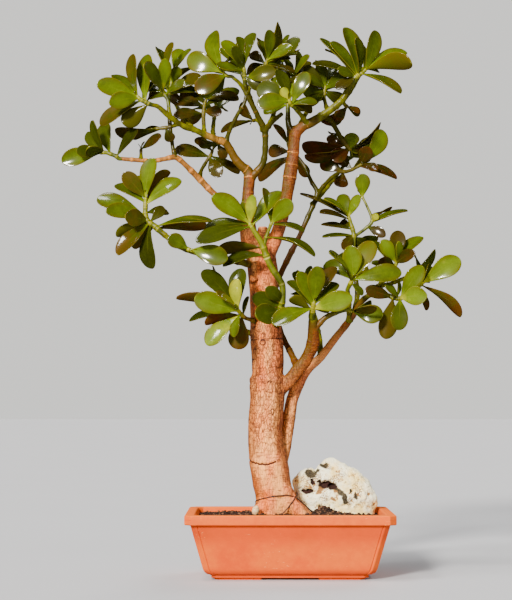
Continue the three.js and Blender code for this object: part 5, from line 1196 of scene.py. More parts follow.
@dataclass
class Soil:
    """The potting soil: a mounded bed, loose crumbs and a little moss."""

    finish: Material
    pot: Pot
    edge: float = 73
    crown: float = 3.5
    heap: float = 8
    crumbs: int = 1900
    seed: int = 5

    def half_sizes(self) -> tuple[float, float]:
        """Give half the bed's length and half its depth."""
        half = self.pot.cavity_half(self.edge)
        return half, half - (self.pot.length - self.pot.depth) / 2

    def height_at(self, x: Array, y: Array) -> Array:
        """Give the height of the mound over places on the bed."""
        half, half_y = self.half_sizes()
        share = 1 - np.maximum(np.abs(x) / half, np.abs(y) / half_y)
        heap = self.heap * np.exp(-(((x - 45) / 13) ** 2) - ((y - 4) / 9) ** 2)
        return self.edge + self.crown * np.sin(1.9 * np.clip(share, 0, 0.83)) + heap

    def build(self) -> None:
        """Build and dress the soil."""
        pot = self.pot
        half = pot.cavity_half(self.edge) - GAP
        shares = np.concatenate(([1.0, 1.0], np.linspace(1, 0, 60)[1:-1]))
        rings = []
        for k, share in enumerate(shares):
            z = pot.floor_top + GAP if k == 0 else self.edge
            outline = resampled(pot.ring(pot.cavity_half(z) - GAP, z, pot.inner_chamfer, 0), 220)
            outline[:, :2] *= share
            rings.append(outline)
        rings = np.array(rings)
        flat = rings[1:].reshape(-1, 3)
        lump = rough(flat, 9, 4) * 1.3 + rough(flat, 2.6, 3, 7.0) * 0.8
        flat[:, 2] = self.height_at(flat[:, 0], flat[:, 1]) + lump * smooth_step(half - np.abs(flat[:, 0]), -1, 6)
        rings[1:] = flat.reshape(rings[1:].shape)
        skin = Skin()
        tone = np.clip(0.4 + 0.5 * rough(rings.reshape(-1, 3), 16, 3, 3.0), 0, 1).reshape(rings.shape[:2])
        moss = self.moss_at(rings.reshape(-1, 3)).reshape(rings.shape[:2])
        skin.add_rings(rings[:, ::-1], tone=tone[:, ::-1], moss=moss[:, ::-1])
        self.scatter(skin)
        set_out("potting_soil", skin, [self.finish], Slot.SOIL, "soil", sharp=50)

    @staticmethod
    def moss_at(points: Array) -> Array:
        """Give how mossy each point is: most beside the pebble and behind the stone."""
        near = np.hypot(points[:, 0] + 34, points[:, 1] + 30)
        back = np.hypot(points[:, 0] - 90, points[:, 1] - 52)
        return np.clip(1.4 - near / 9, 0, 1) + np.clip(1.2 - back / 16, 0, 1)

    def scatter(self, skin: Skin) -> None:
        """Strew crumbs over the bed, thickest in front of the stone.

        Args:
            skin: The soil's surface, which takes the crumbs.
        """
        draw = np.random.default_rng(self.seed)
        ball, faces = ball_of(1)
        small, small_faces = ball_of(0)
        half, half_y = self.half_sizes()
        for i in range(self.crumbs):
            if i % 5 == 0:
                x, y = draw.normal(46, 15), draw.normal(0, 9)
            else:
                x, y = draw.uniform(-half, half), draw.uniform(-half_y, half_y)
            size = 0.55 + 1.5 * draw.random() ** 2.5
            past = abs(x) > half - 2 - size or abs(y) > half_y - 2 - size
            if past or abs(x) + abs(y) > half + half_y - 12:
                continue
            shape, shape_faces = (ball, faces) if size > 1.2 else (small, small_faces)
            stretch = draw.uniform(0.65, 1.25, 3)
            bumps = 1 + 0.3 * (draw.random(len(shape)) - 0.5)
            points = shape * bumps[:, None] * stretch * size
            turn = draw.uniform(0, 2 * math.pi)
            spin = np.array(((math.cos(turn), -math.sin(turn), 0), (math.sin(turn), math.cos(turn), 0), (0, 0, 1)))
            top = float(self.height_at(np.array(x), np.array(y)))
            points = points @ spin.T + np.array((x, y, top + size * draw.uniform(0.1, 0.7)))
            skin.add(points, shape_faces, tone=np.full(len(points), draw.random()))


def resampled(outline: Array, count: int) -> Array:
    """Spread a number of points evenly round a closed outline."""
    closed = np.vstack((outline, outline[:1]))
    run = run_along(closed)
    places = np.linspace(0, run[-1], count, endpoint=False)
    return np.column_stack([np.interp(places, run, closed[:, axis]) for axis in range(3)])


def ball_of(splits: int) -> tuple[Array, Faces]:
    """Give the points and faces of a round ball of radius one, from an icosahedron split a number of times."""
    mesh = bmesh.new()
    bmesh.ops.create_icosphere(mesh, subdivisions=splits + 1, radius=1)
    points = np.array([vert.co[:] for vert in mesh.verts])
    faces = [tuple(vert.index for vert in face.verts) for face in mesh.faces]
    mesh.free()
    return points, faces


@dataclass
class Stone:
    """The weathered limestone, with its hollows, groove and grey lichen."""

    finish: Material
    depth: float = 42
    top: tuple = (147.3, 50, 55, 1.2)
    buried: float = 66
    sides: int = 260
    rows: int = 150
    # Each hollow: x, z and half sizes as seen, how deep it goes, and how dark its painted shade is.
    hollows: tuple = (
        (46, 113, 10.5, 5.4, 9, 1.0), (55, 110.5, 6.4, 4.4, 9, 1.0), (22, 104.5, 9.0, 3.6, 8, 1.0),
        (28.5, 116, 3.4, 4.2, 6, 1.0), (37, 117, 3.2, 2.2, 5, 0.9), (46.5, 138.5, 5.6, 3.4, 3.5, 0.3),
        (34, 134, 2.6, 4.5, 3.2, 0.2), (38.5, 84, 3.0, 4.0, 4, 0.6), (13, 108, 3, 2.5, 3, 0.4),
        (57.5, 121, 3.5, 4, 2.5, 0.25), (40.5, 95, 3.5, 2.6, 2.2, 0.2), (80, 103, 2.6, 4.5, 2.4, 0.3),
        (84, 96, 2.0, 4.5, 2.4, 0.45), (72, 86, 8, 2.4, 2.4, 0.1),
    )
    # Each lichen patch: x, z, half sizes, lean in radians.
    lichens: tuple = (
        (26.5, 127, 9.5, 6.6, -0.4), (34, 131.5, 5.0, 3.4, 0.2), (43.5, 138, 7.0, 3.8, 0.3), (65, 103, 6.5, 4.4, -0.9),
        (70, 94.5, 4.4, 9, 0.25), (59.5, 107.5, 4.5, 2.2, -0.5), (85, 98, 2.2, 6, 0.1), (78, 105, 2.5, 3, 0.1),
    )
    # Each rusty stain, in the same way.
    stains: tuple = (
        (56, 118, 9, 6, 0.2), (60, 108, 8, 3.5, -0.5), (44, 113, 15, 9, 0.0), (44, 97, 6, 8, 0.1),
        (20, 111, 11, 4, 0.3), (16, 121, 7, 4, 0.8), (38, 85, 12, 4, 0.0), (76, 90, 4, 9, -0.2), (88, 106, 4, 12, 0.3),
        (50, 135, 8, 3, -0.1), (31, 118, 16, 13, 0.3), (62, 122, 10, 8, 0.5),
    )

    def build(self) -> None:
        """Build and dress the stone."""
        stations = through(np.vstack((STONE_LEVELS, self.top)), 1.0)
        run = run_along(stations)
        even = np.linspace(0, run[-1], self.rows)
        z, left, right, half = (np.interp(even, run, stations[:, k]) for k in range(4))
        turns = turns_of(self.sides)
        square = np.sign(np.sin(turns)) * np.abs(np.sin(turns)) ** 0.85
        rings = np.empty((self.rows, self.sides, 3))
        for i in range(self.rows):
            x = (left[i] + right[i]) / 2 + (right[i] - left[i]) / 2 * np.cos(turns)
            rings[i] = seen_at(x, self.depth + half[i] * square, 0).T
            rings[i, :, 2] = seen_at(0, self.depth, z[i])[2]
        rings[0, :, 2] = self.buried
        skin = Skin()
        skin.add_rings(rings, **self.weather(rings))
        set_out("limestone_rock", skin, [self.finish], Slot.LIMESTONE, "stone")

    def weather(self, rings: Array) -> dict[str, Array]:
        """Roughen the stone in place and sink its hollows.

        Args:
            rings: The smooth stone, which is changed.

        Returns:
            How dark each point's painted hollow shade is, and how grey, stained and creviced it is, by name.
        """
        shape = rings.shape[:2]
        flat = rings.reshape(-1, 3)
        reach = (flat[:, 1] - STATION[1]) / -STATION[1]
        x = STATION[0] + (flat[:, 0] - STATION[0]) / reach
        z = STATION[2] + (flat[:, 2] - STATION[2]) / reach
        front = flat[:, 1] < self.depth + 6
        broad, lumps, fine = rough(flat, 24, 2, 1.0), rough(flat, 9, 3, 4.0), rough(flat, 3, 3, 9.0)
        ways = rings - np.array((rings[..., 0].mean(), self.depth, 100.0))
        ways = unit_rows((ways * (1 / 50, 1 / 26, 1 / 40)).reshape(-1, 3))
        free = smooth_step(flat[:, 2], 72, 84)
        push = (1.6 * lumps - 0.65 - 2.6 * np.abs(broad) - 1.3 * np.abs(fine)) * free
        sunk = np.zeros(len(flat))
        wobble_x, wobble_z = rough(flat, 5, 3, 12.0) * 1.6, rough(flat, 5, 3, 17.0) * 1.6
        # Each hollow is sunk and painted dark, as painted shade.
        for middle_x, middle_z, wide, high, deep, dark in self.hollows:
            away = np.hypot((x + wobble_x - middle_x) / wide, (z + wobble_z - middle_z) / high)
            share = (1 - smooth_step(away, 0.55, 1.15)) * front
            flat[:, 1] += deep * share
            sunk = np.maximum(sunk, share * dark)
        spots = []
        for patches in (self.lichens, self.stains):
            spot = np.zeros(len(flat))
            for middle_x, middle_z, wide, high, lean in patches:
                dx, dz = x + wobble_x - middle_x, z + wobble_z - middle_z
                u, v = dx * math.cos(lean) + dz * math.sin(lean), dz * math.cos(lean) - dx * math.sin(lean)
                spot = np.maximum(spot, (1 - smooth_step(np.hypot(u / wide, v / high), 0.5, 1.25)) * front)
            spots.append(spot)
        behind = smooth_step(rough(flat, 15, 3, 21.0), 0.42, 0.9) * 0.7 * ~front
        flat += ways * push[:, None]
        # A notch parts the two humps of the top.
        flat[:, 2] -= 5 * bell(x - 32.5, 3.6) * smooth_step(z, 124, 140)
        flat[:, 2] = np.maximum(flat[:, 2], self.buried)
        crevice = smooth_step(2.6 * np.abs(broad) + 1.3 * np.abs(fine) - 1.6 * lumps, 0.6, 3.0)
        marks = {"hollow": sunk, "lichen": np.maximum(spots[0], behind), "stain": spots[1], "crevice": crevice}
        return {name: mark.reshape(shape) for name, mark in marks.items()}


@dataclass
class PalePebble:
    """The pebble half sunk in the soil at the trunk's left foot."""

    finish: Material
    middle: tuple = (-42, -31, 82.6)
    radii: tuple = (4.5, 4.3, 6.4)
    lean: float = 0.25

    def build(self) -> None:
        """Build and dress the pebble."""
        points, faces = ball_of(4)
        points = points * (0.97 + 0.05 * rough(points * 5, 4, 3, 2.0))[:, None] * self.radii
        cos, sin = math.cos(self.lean), math.sin(self.lean)
        skin = Skin()
        skin.add(points @ np.array(((cos, 0, sin), (0, 1, 0), (-sin, 0, cos))).T + self.middle, faces)
        set_out("pale_pebble", skin, [self.finish], Slot.PEBBLE, "pebble")


# ---- Wood ----


def route_of(stations: list[list[float]]) -> Route:
    """Lay stations of the elevation into depth."""
    return [(seen_at(x, y, z), radius) for x, y, z, radius in stations]


def trunk_level(z: float | Array) -> Array:
    """Give the trunk's left edge, right edge and half depth at a height."""
    rows = np.array(TRUNK_LEVELS)
    return np.array([np.interp(z, rows[:, 0], rows[:, k]) for k in (1, 2, 3)])


def rows_of(route: Route) -> Array:
    """Give the places and radii of a route as rows of four."""
    return np.array([(*point, radius) for point, radius in route])


# Height at which a bough's brown bark gives way to green. Other boughs turn green as they get thin.
GREEN_ABOVE = {
    "right": 570, "lower_left": 575, "back_riser": 445, "second_stem": 345, "lower_right": 318, "centre": 512,
    "side_right": 322, "stump": 1000, "knob": 1000,
}
# Heights between which the old bark of a thick bough gives way to thin russet bark. Other boughs have none of it.
OLD_BARK_ENDS = {
    "left": (405, 465), "right": (405, 465), "stump": (430, 500), "lower_right": (150, 290), "second_stem": (190, 345),
}
# How much painted shade darkens the green bark of a bough that stands in shade.
SHADE_DIMMED_BARK = {
    "centre": 0.9, "left_riser": 0.6, "lower_left_up": 0.6, "back_riser": 0.9, "back_right": 0.5, "hanging": 0.8,
    "centre_right": 0.6, "mid_right": 0.8, "lower_left_dark": 0.8,
}
# Heights between which a bough's bark is pale and papery, and how pale.
PALE_BARK = {"lower_left": (400, 531, 0.7), "left": (541, 556, 0.72), "second_stem": (120, 262, 0.45)}
# How green the left bough's bark is at each height: olive brown between its fork and its bend.
LEFT_TURNS = ((496, 0.0), (508, 0.46), (544, 0.48), (556, 1.0))
RING_STRENGTH = {"stump": 0.0, "knob": 0.0, "lower_right": 0.35, "second_stem": 0.25}
RING_STEPS = {"right": (112, 127, 143, 164, 186), "left": (46, 62, 76, 96, 108, 124, 140)}


@dataclass
class Limb:
    """One bough, twig or root as a smooth route, with the places of its node rings."""

    name: str
    stations: Array
    seed: int
    step: float = 1.5

    def __post_init__(self) -> None:
        """Run the route and set the node rings along it."""
        self.route = through(self.stations, self.step)
        self.run = run_along(self.route[:, :3])
        draw = np.random.default_rng(self.seed)
        rings, place = [], draw.uniform(8, 15)
        while place < self.run[-1] - 3:
            rings.append(place)
            place += draw.uniform(13, 20)
        self.rings = np.array(RING_STEPS.get(self.name, rings) or [1e6], dtype=float)

    def ring_at(self, run: Array, wide: float) -> Array:
        """Give how close each place along the limb is to a node ring, from 0 to 1."""
        away = np.abs(run[:, None] - self.rings[None, :]).min(axis=1)
        return bell(away, wide)

    def thinness(self, route: Array) -> Array:
        """Give how far the thin russet bark has taken the place of the old bark along the route."""
        return smooth_step(route[:, 2], *OLD_BARK_ENDS.get(self.name, (-2, -1)))

    def greenness(self, route: Array) -> Array:
        """Give how green the bark is along the route."""
        if self.name == "left":
            return np.interp(route[:, 2], *zip(*LEFT_TURNS))
        if self.name in GREEN_ABOVE:
            turn = GREEN_ABOVE[self.name]
            return smooth_step(route[:, 2], turn - 22, turn + 14)
        return 1 - smooth_step(route[:, 3], 3.6, 5.4)

    def paleness(self, route: Array) -> Array:
        """Give how pale and papery the bark is along the route."""
        low, high, most = PALE_BARK.get(self.name, (0, 9, 0.0))
        return most * smooth_step(route[:, 2], low, low + 4) * (1 - smooth_step(route[:, 2], high - 4, high))


@dataclass
class Wood:
    """The trunk, its roots and boughs blended into one skin, and the twigs that grow from them."""

    finish: Material
    first_seed: int = 100
    voxel: float = 1.35
    sides: int = 72
    thick: tuple = ("stump", "knob", "left", "right", "lower_right", "second_stem")
    thin_radius: float = 4.6
    # Old bud scars on the trunk, as x, height and half sizes.
    eyes: tuple = ((-33, 290, 3.4, 3.0), (-25, 240.5, 2.0, 1.5), (-21, 204, 2.2, 3.4), (-40, 340, 2.6, 1.8))
    # The root flare: each root's stations as x, y, z, radius.
    roots: tuple = (
        (
            (-12, -6, 112, 13), (-6.8, -7, 104, 12), (-0.5, -8, 92.6, 12), (9.5, -8, 82.3, 11), (18.8, -7, 74.2, 10),
            (27.4, -6, 69, 8),
        ),
        ((-14, 8, 108, 12), (-5, 10, 95, 11.5), (4, 12, 82, 10), (14, 14, 73, 8.5), (22, 15, 66, 7)),
        ((-33, -6, 96, 10), (-36, -9, 84, 8), (-37, -11, 72, 7)),
        ((-28, 10, 98, 12), (-32, 16, 82, 9), (-33, 20, 70, 8)),
    )

    def __post_init__(self) -> None:
        """Lay out the limbs."""
        limbs = enumerate(BOUGHS.items())
        self.limbs = {name: Limb(name, rows_of(route_of(row)), self.first_seed + i) for i, (name, row) in limbs}
        # The trunk's levels, close together: height, left, right, half depth.
        heights = np.arange(110.0, 418.1, 2.5)
        self.trunk = np.column_stack((heights, *trunk_level(heights)))

    def trunk_rings(self) -> Array:
        """Lay the trunk as rings of points, from its buried foot to its top."""
        levels = self.trunk.copy()
        for k in (1, 2, 3):
            levels[:, k] = np.convolve(np.pad(levels[:, k], 2, mode="edge"), (0.1, 0.2, 0.4, 0.2, 0.1), mode="valid")
        foot = [(44, -41, 1, 20), (76, -41.5, 2, 20.5), (88, -40.5, 2, 21), (100, -42, 2.5, 21)]
        levels = np.vstack((foot, levels))
        turns = turns_of(self.sides)
        rings = np.empty((len(levels), self.sides, 3))
        for i, (z, left, right, half) in enumerate(levels):
            flute = 1 + 0.05 * np.sin(3 * turns + z / 45) * np.abs(np.sin(turns))
            flute = flute + 0.018 * np.sin(7 * turns + z / 60) + 0.01 * np.sin(11 * turns - z / 38)
            rings[i, :, 0] = (left + right) / 2 + (right - left) / 2 * np.cos(turns)
            rings[i, :, 1] = half * flute * np.sin(turns)
            rings[i, :, 2] = z
        return rings

    def blended(self) -> Mesh:
        """Join trunk, roots and thick limbs into one skin of even small faces."""
        skin = Skin()
        skin.add_rings(self.trunk_rings())
        for stations in self.roots:
            route = through(np.array(stations, dtype=float), 3)
            skin.add_rings(rings_round(route[:, :3], route[:, 3], 24))
        for name in self.thick:
            route = self.limbs[name].route
            kept = route[: self.cut_of(name) + 4].copy()
            if len(kept) < len(route):
                kept[-5:, 3] *= np.linspace(1, 0.72, 5)
            skin.add_rings(rings_round(kept[:, :3], kept[:, 3], 24))
        piece = stand("blend", skin.mesh("blend"))
        remesh = piece.modifiers.new("blend", "REMESH")
        remesh.mode, remesh.voxel_size = "VOXEL", self.voxel * MM
        soften = piece.modifiers.new("soften", "SMOOTH")
        soften.factor, soften.iterations = 0.5, 7
        settle(piece)
        mesh = piece.data
        bpy.data.objects.remove(piece)
        return mesh

    def cut_of(self, name: str) -> int:
        """Give the place in a thick limb's route from which it is a separate fine twig."""
        route = self.limbs[name].route
        thin = np.nonzero(route[:, 3] < self.thin_radius)[0]
        thin = thin[thin > len(route) * 0.4]
        return int(thin[0]) if len(thin) and name not in ("stump", "knob") else len(route)

    def nearest(self, points: Array) -> dict[str, Array]:
        """Find for each point the limb whose skin it belongs to.

        Args:
            points: Points of the blended skin, in mm.

        Returns:
            The limb's girth there, how green, ringed and thin its bark is, and whether it is the trunk, by name.
        """
        centres = [np.column_stack(((row[1] + row[2]) / 2, 0.0, row[0])) for row in self.trunk]
        parts = [(np.vstack(centres), (self.trunk[:, 2] - self.trunk[:, 1]) / 2, 0.0, 0.0, 0.0, 1.0)]
        for stations in self.roots:
            parts.append((through(np.array(stations, dtype=float), 3)[:, :3], 18.0, 0.0, 0.0, 0.0, 1.0))
        for name in self.thick:
            limb, route = self.limbs[name], self.limbs[name].route
            ring = limb.ring_at(limb.run, 0.9) * RING_STRENGTH.get(name, 1.0) + limb.paleness(route)
            parts.append((route[:, :3], route[:, 3], limb.greenness(route), ring, limb.thinness(route), 0.0))
        where = np.vstack([part[0] for part in parts])
        girth, green, ring, thin, trunk = (
            np.concatenate([np.broadcast_to(part[k], len(part[0])) for part in parts]) for k in range(1, 6)
        )
        best = np.empty(len(points), dtype=int)
        for start in range(0, len(points), 4000):
            part = points[start : start + 4000]
            away = np.linalg.norm(part[:, None, :] - where[None, :, :], axis=2) - girth[None, :]
            best[start : start + 4000] = away.argmin(axis=1)
        found = {"girth": girth, "green": green, "ring": ring, "thin": thin, "trunk": trunk}
        return {name: values[best] for name, values in found.items()}

    @staticmethod
    def clear_wire(points: Array, normals: Array) -> None:
        """Press the bark down under the training wire, so that the wire lies on it.

        Args:
            points: Points of the skin, which are moved.
            normals: The skin's outward ways.
        """
        route = np.vstack([wire_route(name) for name in WIRE_ROUTES])
        near = np.nonzero((points[:, 2] > 72) & (points[:, 2] < 110) & (points[:, 1] < 12))[0]
        for start in range(0, len(near), 4000):
            rows = near[start : start + 4000]
            offsets = points[rows][:, None, :] - route[None, :, :]
            closest = (offsets**2).sum(axis=2).argmin(axis=1)
            offset = offsets[np.arange(len(rows)), closest]
            over = (offset * normals[rows]).sum(axis=1)
            aside = np.sqrt(np.maximum((offset**2).sum(axis=1) - over**2, 0))
            sink = np.clip(over + 0.45, 0, 5) * (1 - smooth_step(aside, 1.0, 9.0)) * (over < 5)
            points[rows] -= normals[rows] * sink[:, None]

    def dress_blend(self, mesh: Mesh) -> tuple[Array, Faces, dict[str, Array]]:
        """Roughen the blended skin and mark where its bark changes.

        Args:
            mesh: The blended skin, in metres.

        Returns:
            Its points in mm, its faces and its painted values.
        """
        count = len(mesh.vertices)
        points, normals = np.empty(count * 3), np.empty(count * 3)
        mesh.vertices.foreach_get("co", points)
        mesh.vertices.foreach_get("normal", normals)
        points, normals = in_mm(points.reshape(-1, 3)), normals.reshape(-1, 3)
        found = self.nearest(points)
        girth, ring, trunk = found["girth"], found["ring"], found["trunk"]
        x, z, front = points[:, 0], points[:, 2], smooth_step(-normals[:, 1], -0.1, 0.35)
        crease_z = 138.5 + 0.013 * (x + 34) ** 2 + 2.2 * rough(points * (1, 0.3, 0.1), 7, 3, 51.0)
        crease = bell(z - crease_z, 1.3) * trunk * (0.35 + 0.65 * front * (np.abs(x + 34) < 17))
        lip = bell(z - crease_z - 3.2, 2.4) * trunk * front
        wound = np.exp(-(((x + 33) / 9) ** 2) - ((z - 148) / 5) ** 2) * front * trunk
        collar = bell(z - 246 - 1.5 * np.sin(x / 6), 3.2) * trunk
        # A painted shadow line under the collar, where the bark is also sunk a little.
        under = bell(z - 240.5 - 1.5 * np.sin(x / 6), 1.4) * trunk
        node = bell(z - 294.5 - 0.03 * (x + 28), 0.9) * trunk
        eyes, brows = np.zeros(count), np.zeros(count)
        for eye_x, eye_z, wide, high in self.eyes:
            away = np.hypot((x - eye_x) / wide, (z - eye_z) / high)
            eyes = np.maximum(eyes, bell(away - 1, 0.28) * front * trunk)
            brows = np.maximum(brows, (1 - smooth_step(away, 0.3, 1.4)) * front * trunk)
        age = smooth_step(girth, 5.0, 8.5)
        broad, ridges = rough(points, 38, 2, 2.0), rough(points * (1, 1, 0.22), 6.5, 3, 5.0)
        fine = rough(points * (1, 1, 0.5), 2.6, 2, 8.0)
        push = broad * 0.9 * age + ridges * 0.5 * age + fine * 0.16
        push += ring * (0.3 + 0.02 * girth) * (1 - trunk) + collar * 1.4 - node * 0.5 - crease * 1.3 + lip * 0.7
        push += brows * 0.7 - eyes * 0.6 - under * 0.5
        knob = self.limbs["knob"].route[-1, :3] + (0.0, 0.0, -2.0)
        callus = 1 - smooth_step(np.linalg.norm((points - knob) * (1, 1, 0.72), axis=1), 6, 11)
        push += callus * (rough(points, 3.4, 3, 41.0) * 2.4 - 0.8)
        points = points + normals * push[:, None]
        self.clear_wire(points, normals)
        stump = self.limbs["stump"].route
        end, before = stump[-1, :3], stump[-3, :3]
        near = np.linalg.norm(points - end, axis=1) < stump[-1, 3] + 3
        cut = smooth_step((points - end) @ unit(end - before), -2.2, -0.66) * near
        values = {
            "age": np.maximum(age, callus),
            "young": found["thin"] * (1 - callus),
            "green": found["green"],
            "ring": np.clip(ring * (1 - trunk) + wound * 0.55 + collar * 0.35, 0, 1),
            # The line under the collar is painted shadow, laid in with the scars.
            "scar": np.clip(crease * 1.2 + eyes * 1.1 + node * 0.9 + callus * 0.2 + under * 0.6, 0, 1),
            # Painted shade towards the left and right sides, a little more on the right; the knob's callus really is
            # this colour.
            "side": np.maximum(np.abs(normals[:, 0]) ** 1.5 * np.where(normals[:, 0] > 0, 1.0, 0.9), callus),
            # The bark is cracked most between the trunk's scar and its first fork.
            "worn": 0.4 + 0.6 * smooth_step(z, 148, 168) * (1 - smooth_step(z, 330, 352) * 0.65),
            # Partly painted highlight: pinker towards the right-facing side; the wound, the ridge above the crease and
            # the collar really are pinker.
            "blush": np.clip(0.35 + 0.55 * normals[:, 0] + wound + lip * 0.5 + collar * 0.6, 0, 1),
            "cut": cut,
        }
        return points, [tuple(face.vertices) for face in mesh.polygons], values

    def add_twig(self, skin: Skin, limb: Limb, start: int, sides: int) -> None:
        """Add one fine twig with flared base, swollen nodes and papery rings.

        Args:
            skin: The wood's surface.
            limb: The twig.
            start: The place in its route where it begins.
            sides: Points round it.
        """
        route, run = limb.route[start:], limb.run[start:]
        if len(route) < 3:
            return
        radii = route[:, 3] * (1 + 0.45 * bell(run, 5) * (start == 0))
        ring = limb.ring_at(run, 0.8) * RING_STRENGTH.get(limb.name, 0.8)
        swell = limb.ring_at(run, 3.6)
        lumps = rough(route[:, :3], 7, 2, 0.1 * limb.seed)
        radii = radii * (1 + 0.08 * swell + 0.06 * lumps) + 0.42 * ring
        rings = rings_round(route[:, :3], radii, sides)
        rings += (rough(rings.reshape(-1, 3), 5, 2, 3.0) * 0.14).reshape(*rings.shape[:2], 1)
        green = limb.greenness(route)[:, None]
        age = smooth_step(route[:, 3], 5, 8.5)[:, None]
        thin = limb.thinness(route)[:, None]
        # Painted shade for twigs that stand in shade.
        dull = np.full_like(green, SHADE_DIMMED_BARK.get(limb.name, 0.0))
        pale = (ring + limb.paleness(route))[:, None]
        skin.add_rings(rings, green=green, young=thin, ring=pale, age=age, dull=dull)

    def build(self) -> None:
        """Build and dress the wood."""
        skin = Skin()
        points, faces, values = self.dress_blend(self.blended())
        skin.add(points, faces, **values)
        for name, limb in self.limbs.items():
            start = self.cut_of(name) if name in self.thick else 0
            if start < len(limb.route) - 2:
                self.add_twig(skin, limb, start, 14 if limb.route[start, 3] > 3.6 else 12)
        set_out("trunk_and_boughs", skin, [self.finish], Slot.BARK, "wood")


def wire_route(name: str) -> Array:
    """Give the route of one strand of the training wire round the trunk's foot, in mm.

    Args:
        name: The strand's node.

    Returns:
        Its points.
    """
    points = []
    for degrees, z, lift in WIRE_ROUTES[name]:
        left, right, half = trunk_level(z)
        turn, off = math.radians(degrees), WIRE_RADIUS + GAP + lift
        x = (left + right) / 2 + ((right - left) / 2 + off) * math.cos(turn)
        points.append((x, (half + off) * math.sin(turn), z))
    return through(np.array(points), 1.0)


@dataclass
class TrainingWire:
    """The thin wire tied round the trunk's foot, and its loose end that crosses over it."""

    finish: Material
    sides: int = 12

    def build(self) -> None:
        """Build and dress both strands."""
        for name in WIRE_ROUTES:
            route = wire_route(name)
            wobble = np.column_stack([rough(route, 14, 2, 30.0 + 5 * k) for k in range(3)]) * (0.1, 0.1, 0.35)
            radii = WIRE_RADIUS * (1 + 0.05 * rough(route, 4, 2))
            skin = Skin()
            skin.add_rings(rings_round(route + wobble, radii, self.sides))
            set_out("tied_" + name, skin, [self.finish], Slot.WIRE, name)


# ---- Leaves and shoots ----

# Leaves at the back are painted darker, as painted shade.
REAR_SHADED_TONE = 0.28
# Where old leaves have left a flared pale scar round a green stem, as x and height in the elevation.
STEM_SCARS = {"front_stem": ((-8, 365), (-20, 379), (-27, 397), (-37, 415))}

LEAF_THICKNESS = 3.4
LEAF_MOST_WIDTH = 27
LEAF_SLENDER = 0.46
LEAF_ARCH = 0.07
LEAF_CUP = 0.16
LEAF_HEEL = 1.5
LEAF_REACH = 2.5
FRONT_SEED = 10
REAR_SEED = 60
REAR_STEP = 12
REAR_LENGTH = 46
REAR_ANGLE = 0.85
BENDS = (0, -7, 7, -14, 14, -21, 21, -30, 30)


def draws(seed: int) -> Callable[[], float]:
    """Give Park and Miller's generator, which makes the same draws wherever it is run."""
    state = [seed * 48271]

    def draw() -> float:
        """Give the next number between 0 and 1."""
        state[0] = (state[0] * 16807) % 2147483647
        return state[0] / 2147483647

    return draw


